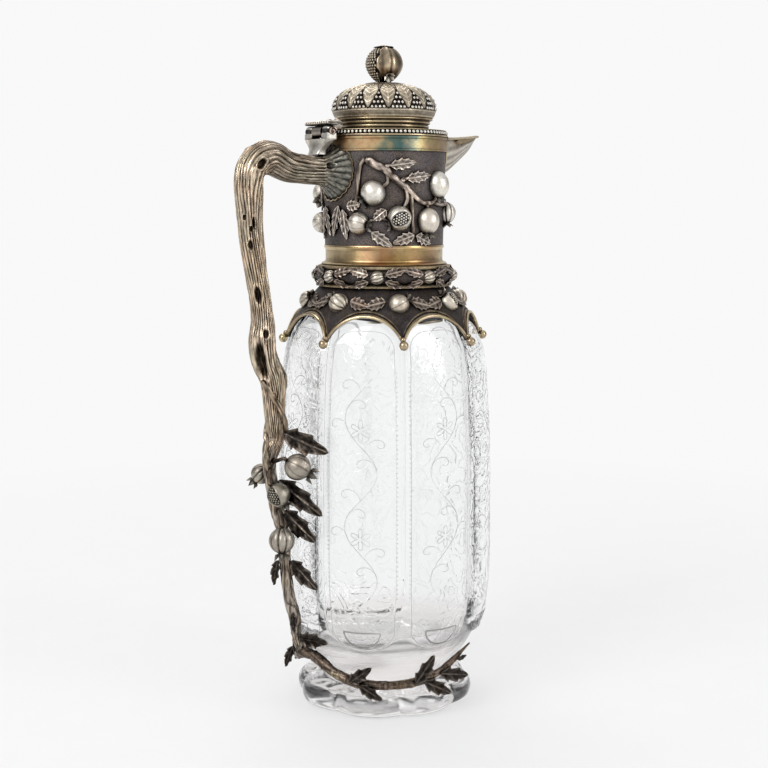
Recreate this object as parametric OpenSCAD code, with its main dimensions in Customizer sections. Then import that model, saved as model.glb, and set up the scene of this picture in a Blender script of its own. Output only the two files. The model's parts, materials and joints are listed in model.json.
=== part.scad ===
// Claret jug: lobed cut glass in cast silver-gilt mounts, with a hinged lid,
// a branch handle and trailing pomegranate sprays.
// Origin at the centre of the foot's underside, +Z up, spout towards +X, handle towards -X.

/* [Glass] */
// Number of lobes round the body
lobe_count = 8; // [6:1:10]
// Radius of the body over the lobes
crest_r = 48; // [46:0.5:51]
// Radius of the arc that each lobe is cut to
lobe_arc_r = 26; // [24:0.5:29]
// Radius of the scalloped foot
foot_r = 39.8; // [37:0.2:42]
// Height of the foot up to the waist
foot_h = 10.4; // [8.5:0.2:12]
// Radius of the waist above the foot
waist_r = 27.8; // [26:0.2:31]
// Height of the plain cone between the waist and the lobes
cone_h = 20; // [17:0.5:24]
// Height of the lobed body up to the tips of the collar
body_h = 132.6; // [120:1:150]
// Outer radius of the glass neck inside the mounts
glass_neck_r = 22.6; // [21.6:0.1:22.8]
// Radius of the bore through the glass neck
glass_bore_r = 18.6; // [17:0.1:19.4]
// Least thickness of the glass behind a groove
glass_wall = 5.2; // [4:0.1:7]
// Height of the glass neck above the collar
glass_neck_h = 40; // [34:0.5:42]
// Radius of the ground ring that the jug rests on
rest_r = 33; // [30:0.5:35]
// Height of that ground ring
rest_h = 0.4; // [0.3:0.1:0.8]

/* [Collar] */
// Height of the collar from its tips to its top
collar_h = 23; // [21:0.5:26]
// Radius of the collar's top ring
collar_top_r = 28.4; // [27.6:0.1:29.6]
// Thickness of the collar's silver
collar_t = 0.9; // [0.7:0.05:1.2]
// Height of the arches above the tips
arch_rise = 10.8; // [9:0.2:12]
// Radius of the gilt wire along the arches
wire_r = 0.6; // [0.4:0.05:0.8]
// Radius of the ball on each tip
tip_ball_r = 2; // [1.5:0.1:2.4]
// Radius of the pomegranates on the collar
collar_fruit_r = 4.6; // [3.8:0.1:5]

/* [Neck] */
// Inner radius of the silver mounts round the neck
mount_bore_r = 24; // [23.6:0.1:24.2]
// Height of the band of gadroons
knop_h = 9.4; // [8.4:0.2:10.4]
// Radius of the band of gadroons
knop_r = 30.6; // [29.8:0.1:31.6]
// Radius of the fruits on that band
knop_fruit_r = 2.9; // [2.4:0.1:3.2]
// Height of the plain gilt band
band_h = 8.6; // [7:0.2:10]
// Thickness of the plain gilt band
band_t = 1.8; // [1.4:0.1:2.4]
// Height of the sleeve that carries the neck's fruits
sleeve_h = 40; // [37:0.5:43]
// Thickness of the sleeve at its foot
sleeve_foot_t = 2; // [1.6:0.1:2.4]
// Thickness of the sleeve at its top
sleeve_top_t = 3; // [2.6:0.1:3.4]
// Height of the band round the mouth
rim_h = 6; // [5:0.2:7]
// Radius of the pomegranates on the sleeve
neck_fruit_r = 4.4; // [3.8:0.1:4.8]
// Thickness of the liner in the mouth
liner_t = 0.6; // [0.4:0.05:0.8]

/* [Spout] */
// Reach of the spout beyond the rim
spout_reach = 23.6; // [20:0.2:26]
// Height of the spout from its keel to the rim
spout_h = 19; // [17:0.5:22]
// Half of the angle that the spout spans on the neck
spout_half_angle = 38; // [33:1:41]
// Rise of the spout's tip above the rim
spout_rise = 2; // [1:0.2:4]
// Thickness of the spout's wall
spout_t = 1; // [0.8:0.05:1.3]

/* [Lid] */
// Radius of the lid's flange
flange_r = 28; // [27.6:0.1:29]
// Thickness of the lid's flange
flange_h = 3; // [2.8:0.1:3.6]
// Radius of a bead on the flange
bead_r = 0.8; // [0.7:0.02:0.85]
// Number of beads round the flange
bead_count = 90; // [80:1:92]
// Height of the gilt steps under the dome
step_h = 5; // [4.4:0.2:6]
// Radius of the lid's dome
dome_r = 22.6; // [22:0.1:23.4]
// Height of the lid's dome
dome_h = 15.4; // [14:0.2:17]
// Thickness of the dome's silver
dome_t = 1; // [0.8:0.05:1.3]
// Depth of the bezel that locates the lid
bezel_h = 3.8; // [3:0.1:4.4]
// Thickness of that bezel
bezel_t = 0.8; // [0.6:0.05:1]
// Radius of the pomegranate on the lid
finial_r = 8.4; // [7.6:0.1:9.2]
// Radius of the stud that holds the finial
stud_r = 1.5; // [1.2:0.1:1.8]

/* [Hinge] */
// Distance from the hinge pin to the flange's edge
hinge_out = 4; // [3.8:0.1:4.6]
// Height of the hinge pin above the rim
hinge_up = 2; // [1.8:0.1:2.4]
// Radius of the hinge pin
pin_r = 1.1; // [0.9:0.05:1.3]
// Radius of the hinge knuckles
knuckle_r = 2.5; // [2.3:0.05:2.6]
// Length of the hinge
hinge_w = 20; // [17:0.5:23]
// Length of the lid's own knuckle
mid_knuckle_w = 7.4; // [6:0.2:9]
// Thickness of the ribbed thumb plate
thumb_t = 1.3; // [1:0.1:1.6]

/* [Handle] */
// Height of the handle's root above the foot of the sleeve
root_up = 32; // [29:0.5:34]
// Radius of the root where it spreads on the sleeve
root_flare_r = 12.6; // [10.5:0.2:14]
// Radius of the branch where it leaves the root
branch_r = 6.3; // [5.4:0.1:7]
// Distance from the sleeve to the branch's shoulder
branch_reach = 40; // [37:0.5:43]
// Radius of the thin stem below the branch
stem_r = 2.6; // [2.2:0.1:2.9]
// Distance kept between the stem and the glass
stem_off = 1.4; // [0.8:0.1:3]
// Radius of the twig that winds round the branch
twig_r = 1.5; // [1.1:0.1:1.8]
// Length of a leaf on the handle
leaf_l = 21; // [17:0.5:23]
// Width of a leaf on the handle
leaf_w = 8.6; // [7:0.2:10]
// Thickness of the leaves
leaf_t = 0.7; // [0.5:0.05:1]
// Radius of the vine round the foot
vine_r = 2.3; // [1.9:0.1:2.6]

/* [Fits] */
// Gap between pieces that are soldered or bedded on each other
seat_gap = 0.3; // [0.25:0.05:0.4]
// Radial clearance of the hinge pin
pin_fit = 0.05; // [0.03:0.01:0.1]
// Side clearance between the knuckles
side_fit = 0.3; // [0.25:0.05:0.4]

/* [Hidden] */
$fn = 64;
// Opening angle of the lid, for a look at it
lid_open = 0;

silver = "silver";
oxidised = "dimgray";
gilt = "goldenrod";
bark = "rosybrown";

// Radii of the mounts round the neck
band_r = mount_bore_r + band_t;
sleeve_foot_r = mount_bore_r + sleeve_foot_t;
sleeve_top_r = mount_bore_r + sleeve_top_t;

// Heights of the stacked pieces
waist_z = foot_h;
lobe_z = waist_z + cone_h;
collar_z = lobe_z + body_h;
knop_z = collar_z + collar_h;
band_z = knop_z + knop_h;
sleeve_z = band_z + band_h;
rim_z = sleeve_z + sleeve_h;
mouth_z = rim_z + rim_h;
lid_z = mouth_z + seat_gap;
step_z = lid_z + flange_h;
dome_z = step_z + step_h;
dome_top = dome_z + dome_h;
glass_top = knop_z + glass_neck_h;

// Gap where one casting is cut to fit another
touch = 0.02;

lobe_pitch = 360 / lobe_count;
lobe_axis = crest_r - lobe_arc_r;

// Arch at the lower end of a lobe
arch_low_h = 13;
// Sides of the glass and of the bark, and the rings along the round body
glass_sides = 8 * lobe_count;
bark_sides = 20;

function unit(v) = v / norm(v);
function lerp(a, b, t) = a + (b - a) * t;
function smooth(t) = let (c = min(1, max(0, t))) c * c * (3 - 2 * c);
function polar(r, a, z) = [r * cos(a), r * sin(a), z];

// ---- Tubes and leaves -------------------------------------------------

function tangent(path, i) =
    unit(path[min(i + 1, len(path) - 1)] - path[max(i - 1, 0)]);

// One ring of a tube: centre c, direction t, a reference direction and a radius for each side
function ring(c, t, ref, radii) =
    let (u = unit(cross(t, ref)), w = cross(t, u), n = len(radii))
    [for (k = [0:n - 1]) c + radii[k] * (cos(360 * k / n) * u + sin(360 * k / n) * w)];

function flatten(lists) = [for (l = lists) for (p = l) p];

// Skin over stacked rings, each with the same number of points, closed by flat ends
module skin(rings) {
    n = len(rings[0]);
    m = len(rings);
    sides = [for (i = [0:m - 2]) for (k = [0:n - 1])
        let (q = (k + 1) % n)
        each [[i * n + k, (i + 1) * n + k, (i + 1) * n + q], [i * n + k, (i + 1) * n + q, i * n + q]]];
    ends = [[for (k = [0:n - 1]) k], [for (k = [n - 1:-1:0]) (m - 1) * n + k]];
    polyhedron(flatten(rings), concat(sides, ends), convexity = 6);
}

// Round tube along a path with a radius at each point
module tube(path, radii, ref, sides) {
    skin([for (i = [0:len(path) - 1])
        ring(path[i], tangent(path, i), ref, [for (k = [1:sides]) radii[i]])]);
}

// Half width of a serrated leaf at share t of its length, with teeth at every other station
leaf_stations = 6;
small_leaf_stations = 4;
function leaf_half(t, i) = pow(sin(180 * pow(t, 0.8)), 0.7) * (i % 2 == 0 ? 0.82 : 1.06);

// Cross-sections of a leaf in its own frame: x along the midrib, y across, z up.
// The blade is folded up along the midrib and curls down towards the tip.
function leaf_rings(l, w, t, fold, curl, stations = leaf_stations) =
    [for (i = [0:stations])
        let (s = i / stations,
             h = max(0.18, w / 2 * leaf_half(max(0.02, min(0.985, s)), i)),
             x = l * s, z = -curl * l * s * s, up = fold * h, e = t * 0.35)
        [[x, -h, z + up - e], [x, 0, z - t / 2], [x, h, z + up - e],
         [x, h, z + up + e], [x, 0, z + t / 2], [x, -h, z + up + e]]];

// A leaf from a point, along a direction, with its face towards a normal
function placed(rings, base, dir, normal) =
    let (a = unit(dir), b = unit(cross(normal, a)), c = cross(a, b))
    [for (r = rings) [for (p = r) base + p[0] * a + p[1] * b + p[2] * c]];

// A leaf wrapped on a mount of radius rad(z), starting at azimuth az and height z, turned by an angle
function wrapped(rings, radius, az, z, turn) =
    [for (r = rings) [for (p = r)
        let (along = p[0] * cos(turn) - p[1] * sin(turn), rise = p[0] * sin(turn) + p[1] * cos(turn))
        polar(radius + p[2], az + along / radius * 180 / PI, z + rise)]];

// A pomegranate lying along +X with its crown at the far end, r in radius
function fruit_profile(r) = concat(
    [for (a = [180:-15:30]) [r * cos(a), r * sin(a)]],
    [[r * 1.02, r * 0.3], [r * 1.34, r * 0.46], [r * 1.36, r * 0.3], [r * 1.1, 0]]);

module fruit(r) {
    rotate([0, 90, 0]) rotate_extrude($fn = 32)
        polygon([for (p = fruit_profile(r)) [max(0, p[1]), p[0]]]);
}

// ---- Glass ------------------------------------------------------------

// Radius of the collar's outer face at height z
collar_r = crest_r - 5.2;
function collar_face(z) =
    let (t = min(1, max(0, (z - collar_z) / collar_h)))
    collar_r - (collar_r - collar_top_r) * pow(t, 1.5);
function under_collar(z) = collar_face(z) - collar_t - seat_gap;

// Radius over the lobes at height z
function crest(z) = lookup(z, [
    [lobe_z, crest_r - 7.4],
    [lobe_z + 2.5, crest_r - 4.8],
    [lobe_z + 6, crest_r - 3.1],
    [lobe_z + 10, crest_r - 1.9],
    [lobe_z + 18, crest_r - 0.9],
    [lobe_z + body_h * 0.45, crest_r],
    [collar_z - 45, crest_r - 0.4],
    [collar_z - 28, crest_r - 1.3],
    [collar_z - 15, crest_r - 2.1],
    [collar_z - 8, crest_r - 2.9],
    [collar_z - 1, collar_r + 0.8],
    [collar_z + 2, collar_r - 0.4],
    [collar_z + 5, collar_face(collar_z + 5) - 0.5],
    [collar_z + 9, under_collar(collar_z + 9)],
    [collar_z + 14, under_collar(collar_z + 14)],
    [knop_z - 3.4, under_collar(knop_z - 3.4)]]);

// Radius of the plain body behind the lobes
cone_top_r = crest_r - 7.6;
function core(z) = lookup(z, [
    [waist_z, waist_r],
    [lobe_z, cone_top_r],
    [lobe_z + 9, crest_r * 0.905],
    [lobe_z + arch_low_h + 4, crest(lobe_z + arch_low_h + 4) * 0.93],
    [collar_z, crest(collar_z) * 0.93]]);

// Share of the lobe's radius at angle a from its crest
function lobe_share(a) =
    let (f = abs((a + 720 + lobe_pitch / 2) % lobe_pitch - lobe_pitch / 2))
    (lobe_axis * cos(f) + sqrt(pow(lobe_arc_r, 2) - pow(lobe_axis * sin(f), 2))) / crest_r;

// Rounded lower end of the lobe: 0 outside its arch, 1 well inside
function lobe_mask(a, z) =
    let (f = abs((a + 720 + lobe_pitch / 2) % lobe_pitch - lobe_pitch / 2) / (lobe_pitch / 2),
         d = max(0, lobe_z + arch_low_h - z) / arch_low_h)
    d == 0 ? 1 : smooth((1 - norm([f, d])) / 0.22);

function body_r(a, z) = lerp(core(z), crest(z) * lobe_share(a), lobe_mask(a, z));

body_heights = concat(
    [for (h = [0, 1.4, 3.2, 5.6, 9, 13, 18, 32]) lobe_z + h],
    [for (h = [66, 40, 22, 9, 1, -3, -8, -14]) collar_z - h],
    [knop_z - 3.4]);

function round_row(r, z) = [for (k = [0:glass_sides - 1]) polar(r, 360 * k / glass_sides, z)];
function foot_row(r, z) =
    [for (k = [0:glass_sides - 1]) let (a = 360 * k / glass_sides) polar(r * lobe_share(a), a, z)];
function body_row(z) =
    [for (k = [0:glass_sides - 1]) let (a = 360 * k / glass_sides) polar(body_r(a, z), a, z)];

chamber_r = crest_r * lobe_share(lobe_pitch / 2) - glass_wall;
chamber_z = lobe_z - 2;

module glass_body() {
    foot_rows = [
        foot_row(foot_r - 1.4, rest_h), foot_row(foot_r, rest_h + 1.4),
        foot_row(foot_r, foot_h - 2.6), foot_row(foot_r - 1.2, foot_h - 1.1),
        round_row(waist_r + 2.6, foot_h - 0.5), round_row(waist_r, waist_z)];
    neck_rows = [
        round_row(mount_bore_r - 0.4, knop_z - 1.5), round_row(glass_neck_r, knop_z + 1),
        round_row(glass_neck_r, glass_top - 1), round_row(glass_neck_r - 1, glass_top)];
    inner = [
        [glass_bore_r, glass_top], [glass_bore_r, knop_z + 3],
        [glass_bore_r + 2.4, knop_z - 4], [chamber_r * 0.78, knop_z - 12],
        [chamber_r * 0.96, collar_z - 8], [chamber_r, collar_z - 26],
        [chamber_r, lobe_z + 20], [chamber_r * 0.88, lobe_z + 5], [chamber_r * 0.5, chamber_z]];
    color("aliceblue", 0.5) union() {
        skin(concat(foot_rows, [for (z = body_heights) body_row(z)], neck_rows,
                    [for (p = inner) round_row(p[0], p[1])]));
        cylinder(r = rest_r, h = rest_h + 1);
    }
}

// ---- Neck -------------------------------------------------------------

module hollow_turning(outline) {
    rotate_extrude() polygon(outline);
}

module neck_cement() {
    color("white") rotate_extrude()
        translate([glass_neck_r, knop_z + 1.5])
            square([mount_bore_r - glass_neck_r, glass_top - knop_z - 2.5]);
}

liner_r = mount_bore_r - seat_gap;
mouth_r = liner_r - liner_t;

module neck_liner() {
    low = glass_bore_r - seat_gap;
    ledge = glass_top + seat_gap;
    color(gilt) difference() {
        hollow_turning([
            [low - liner_t, knop_z + 4], [low, knop_z + 4], [low, ledge], [liner_r, ledge],
            [liner_r, mouth_z], [mouth_r, mouth_z], [mouth_r, ledge + liner_t],
            [low - liner_t, ledge + liner_t]]);
        spout_channel();
    }
}

// ---- Collar -----------------------------------------------------------

collar_steps = 8;
tip_half = collar_r * sin(lobe_pitch / 2);
arch_r = (pow(arch_rise, 2) + pow(tip_half, 2)) / (2 * arch_rise);
arch_z = collar_z + 0.6 + arch_rise - arch_r;

module shoulder_collar() {
    heights = [for (i = [0:collar_steps]) collar_z + i / collar_steps * (collar_h - 0.9)];
    outer = [for (z = heights) [collar_face(z), z]];
    inner = [for (i = [collar_steps:-1:0]) [collar_face(heights[i]) - collar_t, heights[i]]];
    color(oxidised) difference() {
        hollow_turning(concat(outer,
            [[collar_top_r, knop_z], [mount_bore_r, knop_z], [mount_bore_r, knop_z - 0.9]], inner));
        for (i = [0:lobe_count - 1])
            rotate(i * lobe_pitch) translate([mount_bore_r - 4, 0, arch_z])
                rotate([0, 90, 0]) cylinder(r = arch_r, h = crest_r, $fn = 96);
    }
}

// Points of the gilt wire along one arch, seen from the arch's middle
wire_points = 9;
function wire_arch(i) =
    let (half = asin((tip_half - 1) / arch_r))
    [for (k = [0:wire_points - 1])
        let (a = lerp(-half, half, k / (wire_points - 1)),
             y = (arch_r + wire_r + 0.2) * sin(a), z = arch_z + (arch_r + wire_r + 0.2) * cos(a),
             r = collar_face(z) + wire_r + seat_gap / 2)
        polar(r, i * lobe_pitch + asin(y / r), z)];

module closed_skin(rings) {
    n = len(rings[0]);
    m = len(rings);
    polyhedron(flatten(rings), [for (i = [0:m - 1]) for (k = [0:n - 1])
        let (j = (i + 1) % m, q = (k + 1) % n)
        each [[i * n + k, j * n + k, j * n + q], [i * n + k, j * n + q, i * n + q]]], convexity = 6);
}

module collar_edge_wire() {
    path = flatten([for (i = [0:lobe_count - 1]) wire_arch(i)]);
    n = len(path);
    color(gilt) closed_skin([for (i = [0:n - 1])
        let (t = unit(path[(i + 1) % n] - path[(i + n - 1) % n]))
        ring(path[i], t, [path[i][0], path[i][1], 0], [for (k = [1:6]) wire_r])]);
}

module collar_ball_tips() {
    r = collar_r + tip_ball_r + 0.2;
    color(gilt) for (i = [0:lobe_count - 1])
        rotate((i + 0.5) * lobe_pitch) translate([r, 0, collar_z + 0.4]) sphere(tip_ball_r, $fn = 24);
}

// Pomegranates seated on the collar above each tip, cut to its face
fruit_z = knop_z - 6.4;
module collar_fruits() {
    lean = 52;
    seat = collar_face(fruit_z) - 1.5;
    color(silver) difference() {
        for (i = [0:lobe_count - 1])
            rotate((i + 0.5) * lobe_pitch) translate([seat, 0, fruit_z])
                rotate([0, -lean, 0]) rotate([0, 0, 70 + 50 * i]) rotate([0, 12, 0])
                    fruit(collar_fruit_r / 1.12);
        collar_solid(touch);
    }
}

// The space inside the collar's outer face, grown by a margin
module collar_solid(margin) {
    heights = [for (i = [0:collar_steps]) collar_z + i / collar_steps * (collar_h - 0.9)];
    rotate_extrude() polygon(concat([[0, collar_z - 6], [collar_r + margin, collar_z - 6]],
        [for (z = heights) [collar_face(z) + margin, z]],
        [[collar_top_r + margin, knop_z], [0, knop_z]]));
}

// Leaf on the sloping collar: wrapped on its local radius, height following the face
module collar_leaves() {
    size = leaf_rings(7.4, 4.2, leaf_t, 0.16, 0);
    color(oxidised) for (i = [0:lobe_count - 1]) for (side = [-1, 1])
        skin(on_collar(size, (i + 0.5) * lobe_pitch + side * 9.9, knop_z - 4.8, side));
}

// Maps a leaf's frame to the collar's face, heading away from a fruit and down to the arch
function on_collar(rings, az, z, side) =
    [for (r = rings) [for (p = r)
        let (h = z - 0.24 * p[0] + side * p[1],
             rad = collar_face(h) + seat_gap + leaf_t / 2 + p[2])
        polar(rad, az + side * p[0] / rad * 180 / PI, h)]];

// ---- Knop, band, sleeve and rim ----------------------------------------

module knop_band() {
    mid = knop_z + knop_h / 2;
    color(oxidised) hollow_turning(concat(
        [[mount_bore_r, knop_z], [collar_top_r + 0.4, knop_z], [collar_top_r + 0.6, knop_z + 1.4],
         [knop_r - 1.6, knop_z + 1.8]],
        [for (a = [-60:20:60])
            [knop_r - 1.8 + 1.8 * cos(a), mid + (knop_h / 2 - 2) * sin(a) / sin(60) * 0.9]],
        [[knop_r - 1.6, band_z - 1.8], [collar_top_r, band_z - 1.4], [collar_top_r, band_z],
         [mount_bore_r, band_z]]));
}

module knop_fruits() {
    seat = knop_r - 1.2;
    color(silver) difference() {
        for (i = [0:lobe_count - 1])
            rotate((i + 0.14) * lobe_pitch) translate([seat, 0, knop_z + knop_h / 2])
                rotate([0, 0, 90]) rotate([0, -18, 0]) fruit(knop_fruit_r / 1.1);
        cylinder(r = knop_r + touch, h = 2 * knop_z, $fn = 256);
    }
}

module knop_leaves() {
    size = leaf_rings(7.6, 4.2, leaf_t, 0.2, 0, small_leaf_stations);
    face = knop_r + seat_gap + leaf_t / 2;
    color(oxidised) for (i = [0:lobe_count - 1]) for (side = [-1, 1])
        skin(wrapped(size, face, (i + 0.14) * lobe_pitch + side * 7.8, knop_z + knop_h / 2 - side * 1,
                     side > 0 ? 14 : 166));
}

module gilt_band() {
    groove = 0.3;
    color(gilt) hollow_turning([
        [mount_bore_r, band_z], [band_r + 1.8, band_z], [band_r + 1.8, band_z + 0.9],
        [band_r, band_z + 1.5], [band_r, band_z + 3], [band_r - groove, band_z + 3.3],
        [band_r, band_z + 3.6], [band_r, sleeve_z - 1.6], [band_r + 0.5, sleeve_z - 1],
        [band_r + 0.5, sleeve_z], [mount_bore_r, sleeve_z]]);
}

// Radius of the sleeve's outer face at height z
function sleeve_face(z) = lerp(sleeve_foot_r, sleeve_top_r, (z - sleeve_z) / sleeve_h);

// The space within the sleeve and the rim, grown by the gap to a casting cut to fit them
rim_lip = 0.7;
module inside_sleeve() {
    top = lid_z + 9;
    rim = sleeve_top_r + rim_lip + touch;
    rotate_extrude() polygon([[0, sleeve_z], [sleeve_foot_r + touch, sleeve_z],
        [sleeve_top_r + touch, rim_z], [rim, rim_z], [rim, top], [0, top]]);
}

module neck_sleeve() {
    color(oxidised) difference() {
        hollow_turning([[mount_bore_r, sleeve_z], [sleeve_foot_r, sleeve_z],
                        [sleeve_top_r, rim_z], [mount_bore_r, rim_z]]);
        spout_channel();
    }
}

module rim_band() {
    r = sleeve_top_r + rim_lip;
    color("darkkhaki") difference() {
        hollow_turning([[mount_bore_r, rim_z], [r - 0.1, rim_z], [r - 0.1, rim_z + 0.6],
                        [r - 0.4, rim_z + 0.8], [r - 0.4, mouth_z - 1], [r, mouth_z - 0.8],
                        [r, mouth_z], [mount_bore_r, mouth_z]]);
        spout_channel();
    }
}

// Pomegranates on the near side of the sleeve: azimuth, height above its foot, share of the
// radius, turn of the crown, stretch
neck_fruit_places = [
    [-132.5, 22.4, 1.02, 218], [-66, 26, 0.95, 85], [-146.7, 9.6, 0.9, 0], [-109, 11.8, 1.02, 205],
    [-79.5, 10.7, 0.98, 268], [-38, 14, 0.86, 262]];

module neck_fruits() {
    color(silver) for (side = [1, -1]) on_side(side) difference() {
        for (f = neck_fruit_places)
            rotate(f[0]) translate([sleeve_face(sleeve_z + f[1]) - 0.6, 0, sleeve_z + f[1]])
                rotate([f[3], 0, 0]) rotate([0, 0, 82]) fruit(neck_fruit_r * f[2]);
        inside_sleeve();
    }
}

// A twig on the sleeve: points are azimuth and height above the sleeve's foot
module sleeve_twig(points, thick, thin) {
    n = len(points);
    path = [for (p = points)
        polar(sleeve_face(sleeve_z + p[1]) + thick + seat_gap, p[0], sleeve_z + p[1])];
    skin([for (i = [0:n - 1])
        ring(path[i], tangent(path, i), [path[i][0], path[i][1], 0],
             [for (k = [1:6]) lerp(thick, thin, i / (n - 1))])]);
}

module neck_twigs() {
    main = [[-137, 35.4], [-129.5, 33.8], [-122, 32], [-114.4, 28.7], [-106.5, 25.8], [-99, 22.8],
            [-91, 19.6], [-83, 18], [-76, 18.2]];
    fork = [[-101.5, 20.6], [-102.5, 19.2], [-103.6, 17.8]];
    color(bark) for (side = [1, -1]) on_side(side) {
        sleeve_twig(main, 1.3, 0.8);
        sleeve_twig(fork, 0.7, 0.6);
    }
}

// The far side of the jug mirrors the near side
module on_side(side) {
    if (side > 0) children();
    else mirror([0, 1, 0]) children();
}

// Leaves on the near side of the sleeve: azimuth, height above its foot, turn, length
neck_leaf_places = [
    [-117.5, 33.6, 8, 9.4], [-102.5, 28.2, 8, 10.4], [-121, 15.2, 219, 6.4], [-134.5, 5.8, -35, 9.6],
    [-94.5, 4.6, 200, 9], [-92.5, 4.4, -24, 8], [-168.5, 17, 252, 12.2], [-163.5, 15.4, -82, 11.4],
    [-158.5, 16.6, 8, 5.4]];

// A leaf on the sleeve, starting at azimuth az and height z and turned by an angle
function on_sleeve(rings, az, z, turn) =
    [for (r = rings) [for (p = r)
        let (along = p[0] * cos(turn) - p[1] * sin(turn), h = z + p[0] * sin(turn) + p[1] * cos(turn),
             rad = sleeve_face(h) + seat_gap + leaf_t / 2 + p[2])
        polar(rad, az + along / sleeve_foot_r * 180 / PI, h)]];

module neck_leaves() {
    color(oxidised) for (side = [1, -1]) on_side(side) for (p = neck_leaf_places)
        skin(on_sleeve(leaf_rings(p[3], 4, leaf_t, 0.16, 0), p[0], sleeve_z + p[1], p[2]));
}

// ---- Spout ------------------------------------------------------------

spout_root_r = sleeve_top_r - 0.6;
spout_tip = [sleeve_top_r + spout_reach, mouth_z + spout_rise];
spout_keel_z = mouth_z - spout_h;

// Wedge of the spout drawn in by a margin all round, its root pulled inwards by a length
module spout_wedge(margin, inwards) {
    half = spout_half_angle - margin * 2.2;
    x = spout_root_r * cos(half) - inwards;
    y = spout_root_r * sin(half);
    top = mouth_z - 0.1 + (margin > 0 ? 12 : 0);
    keel = [[spout_root_r - inwards, spout_keel_z + margin * 1.6],
            [spout_root_r + spout_reach * 0.62, spout_keel_z + spout_h * 0.55 + margin * 1.3],
            [spout_root_r + spout_reach * 0.82, spout_keel_z + spout_h * 0.79 + margin * 1.3]];
    hull() {
        for (s = [-1, 1]) translate([x, s * y, top]) cube([0.02, 0.02, 0.02], center = true);
        for (s = [-1, 1]) translate([x, s * y * 0.93, mouth_z - 7])
            cube([0.02, 0.02, 0.02], center = true);
        for (k = keel) translate([k[0], 0, k[1]]) cube([0.02, 0.8, 0.02], center = true);
        translate([spout_tip[0] - margin * 1.5, 0, spout_tip[1] + (margin > 0 ? 10 : 0)])
            cube([0.02, 0.8, 0.02], center = true);
        translate([spout_tip[0] - margin * 1.5, 0, spout_tip[1] - 0.5])
            cube([0.02, 0.8, 0.02], center = true);
    }
}

module spout_channel() {
    spout_wedge(spout_t, 6);
}

module spout() {
    color(silver) difference() {
        spout_wedge(0, 0);
        spout_channel();
        inside_sleeve();
    }
}

module spout_drop() {
    x = sleeve_face(spout_keel_z - 2.4) + 1.2;
    color(silver) difference() {
        translate([x, 0, spout_keel_z - 2.4]) rotate_extrude($fn = 24)
            polygon([[0, -3.6], [1.3, -1.4], [1.9, 0.4], [1.2, 1.7], [0, 1.9]]);
        inside_sleeve();
    }
}

// ---- Lid --------------------------------------------------------------

hinge_x = -(flange_r + hinge_out);
hinge_z = mouth_z + hinge_up;

// Turns a piece of the lid about the hinge pin
module on_lid() {
    translate([hinge_x, 0, hinge_z]) rotate([0, -lid_open, 0])
        translate([-hinge_x, 0, -hinge_z]) children();
}

bead_ring_r = flange_r - 0.9;
bead_z = lid_z + flange_h / 2 + 0.1;

module lid_flange() {
    well = bead_ring_r - bead_r - 0.1;
    half = bead_r + 0.1;
    color(gilt) on_lid() hollow_turning([
        [dome_r - 5, lid_z], [flange_r, lid_z], [flange_r, bead_z - half], [well, bead_z - half],
        [well, bead_z + half], [flange_r - 0.8, bead_z + half], [flange_r - 0.8, step_z],
        [dome_r - 5, step_z]]);
}

module lid_beads() {
    color(silver) on_lid() for (i = [0:bead_count - 1])
        rotate(i * 360 / bead_count) translate([bead_ring_r, 0, bead_z]) sphere(bead_r, $fn = 16);
}

module lid_bezel() {
    r = mouth_r - seat_gap;
    color(gilt) on_lid() rotate_extrude()
        translate([r - bezel_t, lid_z - bezel_h]) square([bezel_t, bezel_h]);
}

module lid_steps() {
    r = dome_r - 3;
    color(gilt) on_lid() hollow_turning([
        [dome_r - 5, step_z], [r - 0.4, step_z], [r - 0.4, step_z + 1], [r, step_z + 1.2],
        [r, step_z + 2], [r + 0.5, step_z + 2.4], [r + 0.5, dome_z - 0.6], [r + 1.6, dome_z - 0.4],
        [r + 1.6, dome_z], [dome_r - 5, dome_z]]);
}

// Outline of the dome in shares of its radius and height
dome_outline = [[0.93, 0], [0.98, 0.12], [1, 0.26], [0.985, 0.42], [0.93, 0.58], [0.83, 0.72],
                [0.7, 0.83], [0.54, 0.91], [0.37, 0.97], [0.3, 1]];
stud_fit = 0.1;

module lid_dome() {
    outer = [for (p = dome_outline) [dome_r * p[0], dome_z + dome_h * p[1]]];
    inner = [for (i = [len(dome_outline) - 1:-1:0])
        [(dome_r - dome_t) * dome_outline[i][0] * (i > 8 ? 0.5 : 1),
         dome_z + max(0, (dome_h - dome_t * 1.1) * dome_outline[i][1])]];
    color(oxidised) on_lid() difference() {
        hollow_turning(concat([[0, dome_top]], [for (i = [len(outer) - 1:-1:0]) outer[i]],
                              [for (i = [len(inner) - 1:-1:0]) inner[i]],
                              [[0, inner[0][1]]]));
        translate([0, 0, dome_z]) cylinder(r = stud_r + stud_fit, h = dome_h + 1);
    }
}

// ---- Finial -----------------------------------------------------------

finial_z = dome_top + finial_r * 0.93;
finial_seed_r = 0.9;

module finial_ball() {
    translate([0, 0, finial_z]) intersection() {
        sphere(finial_r);
        translate([0, 0, -finial_r * 0.93]) cylinder(r = finial_r, h = 2 * finial_r);
    }
}

// Split in the fruit, on the side towards the handle
split_az = -166;
split_r = finial_r * 0.62;
split_out = finial_r * 1.16;

module finial_split() {
    rotate(split_az) translate([split_out, 0, finial_z]) rotate([90, 0, 0])
        cylinder(r = split_r, h = finial_r * 0.74, center = true);
}

module finial_fruit() {
    color(silver) on_lid() difference() {
        finial_ball();
        finial_split();
        translate([0, 0, dome_top - 1]) cylinder(r = stud_r + stud_fit, h = 6);
    }
}

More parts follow.
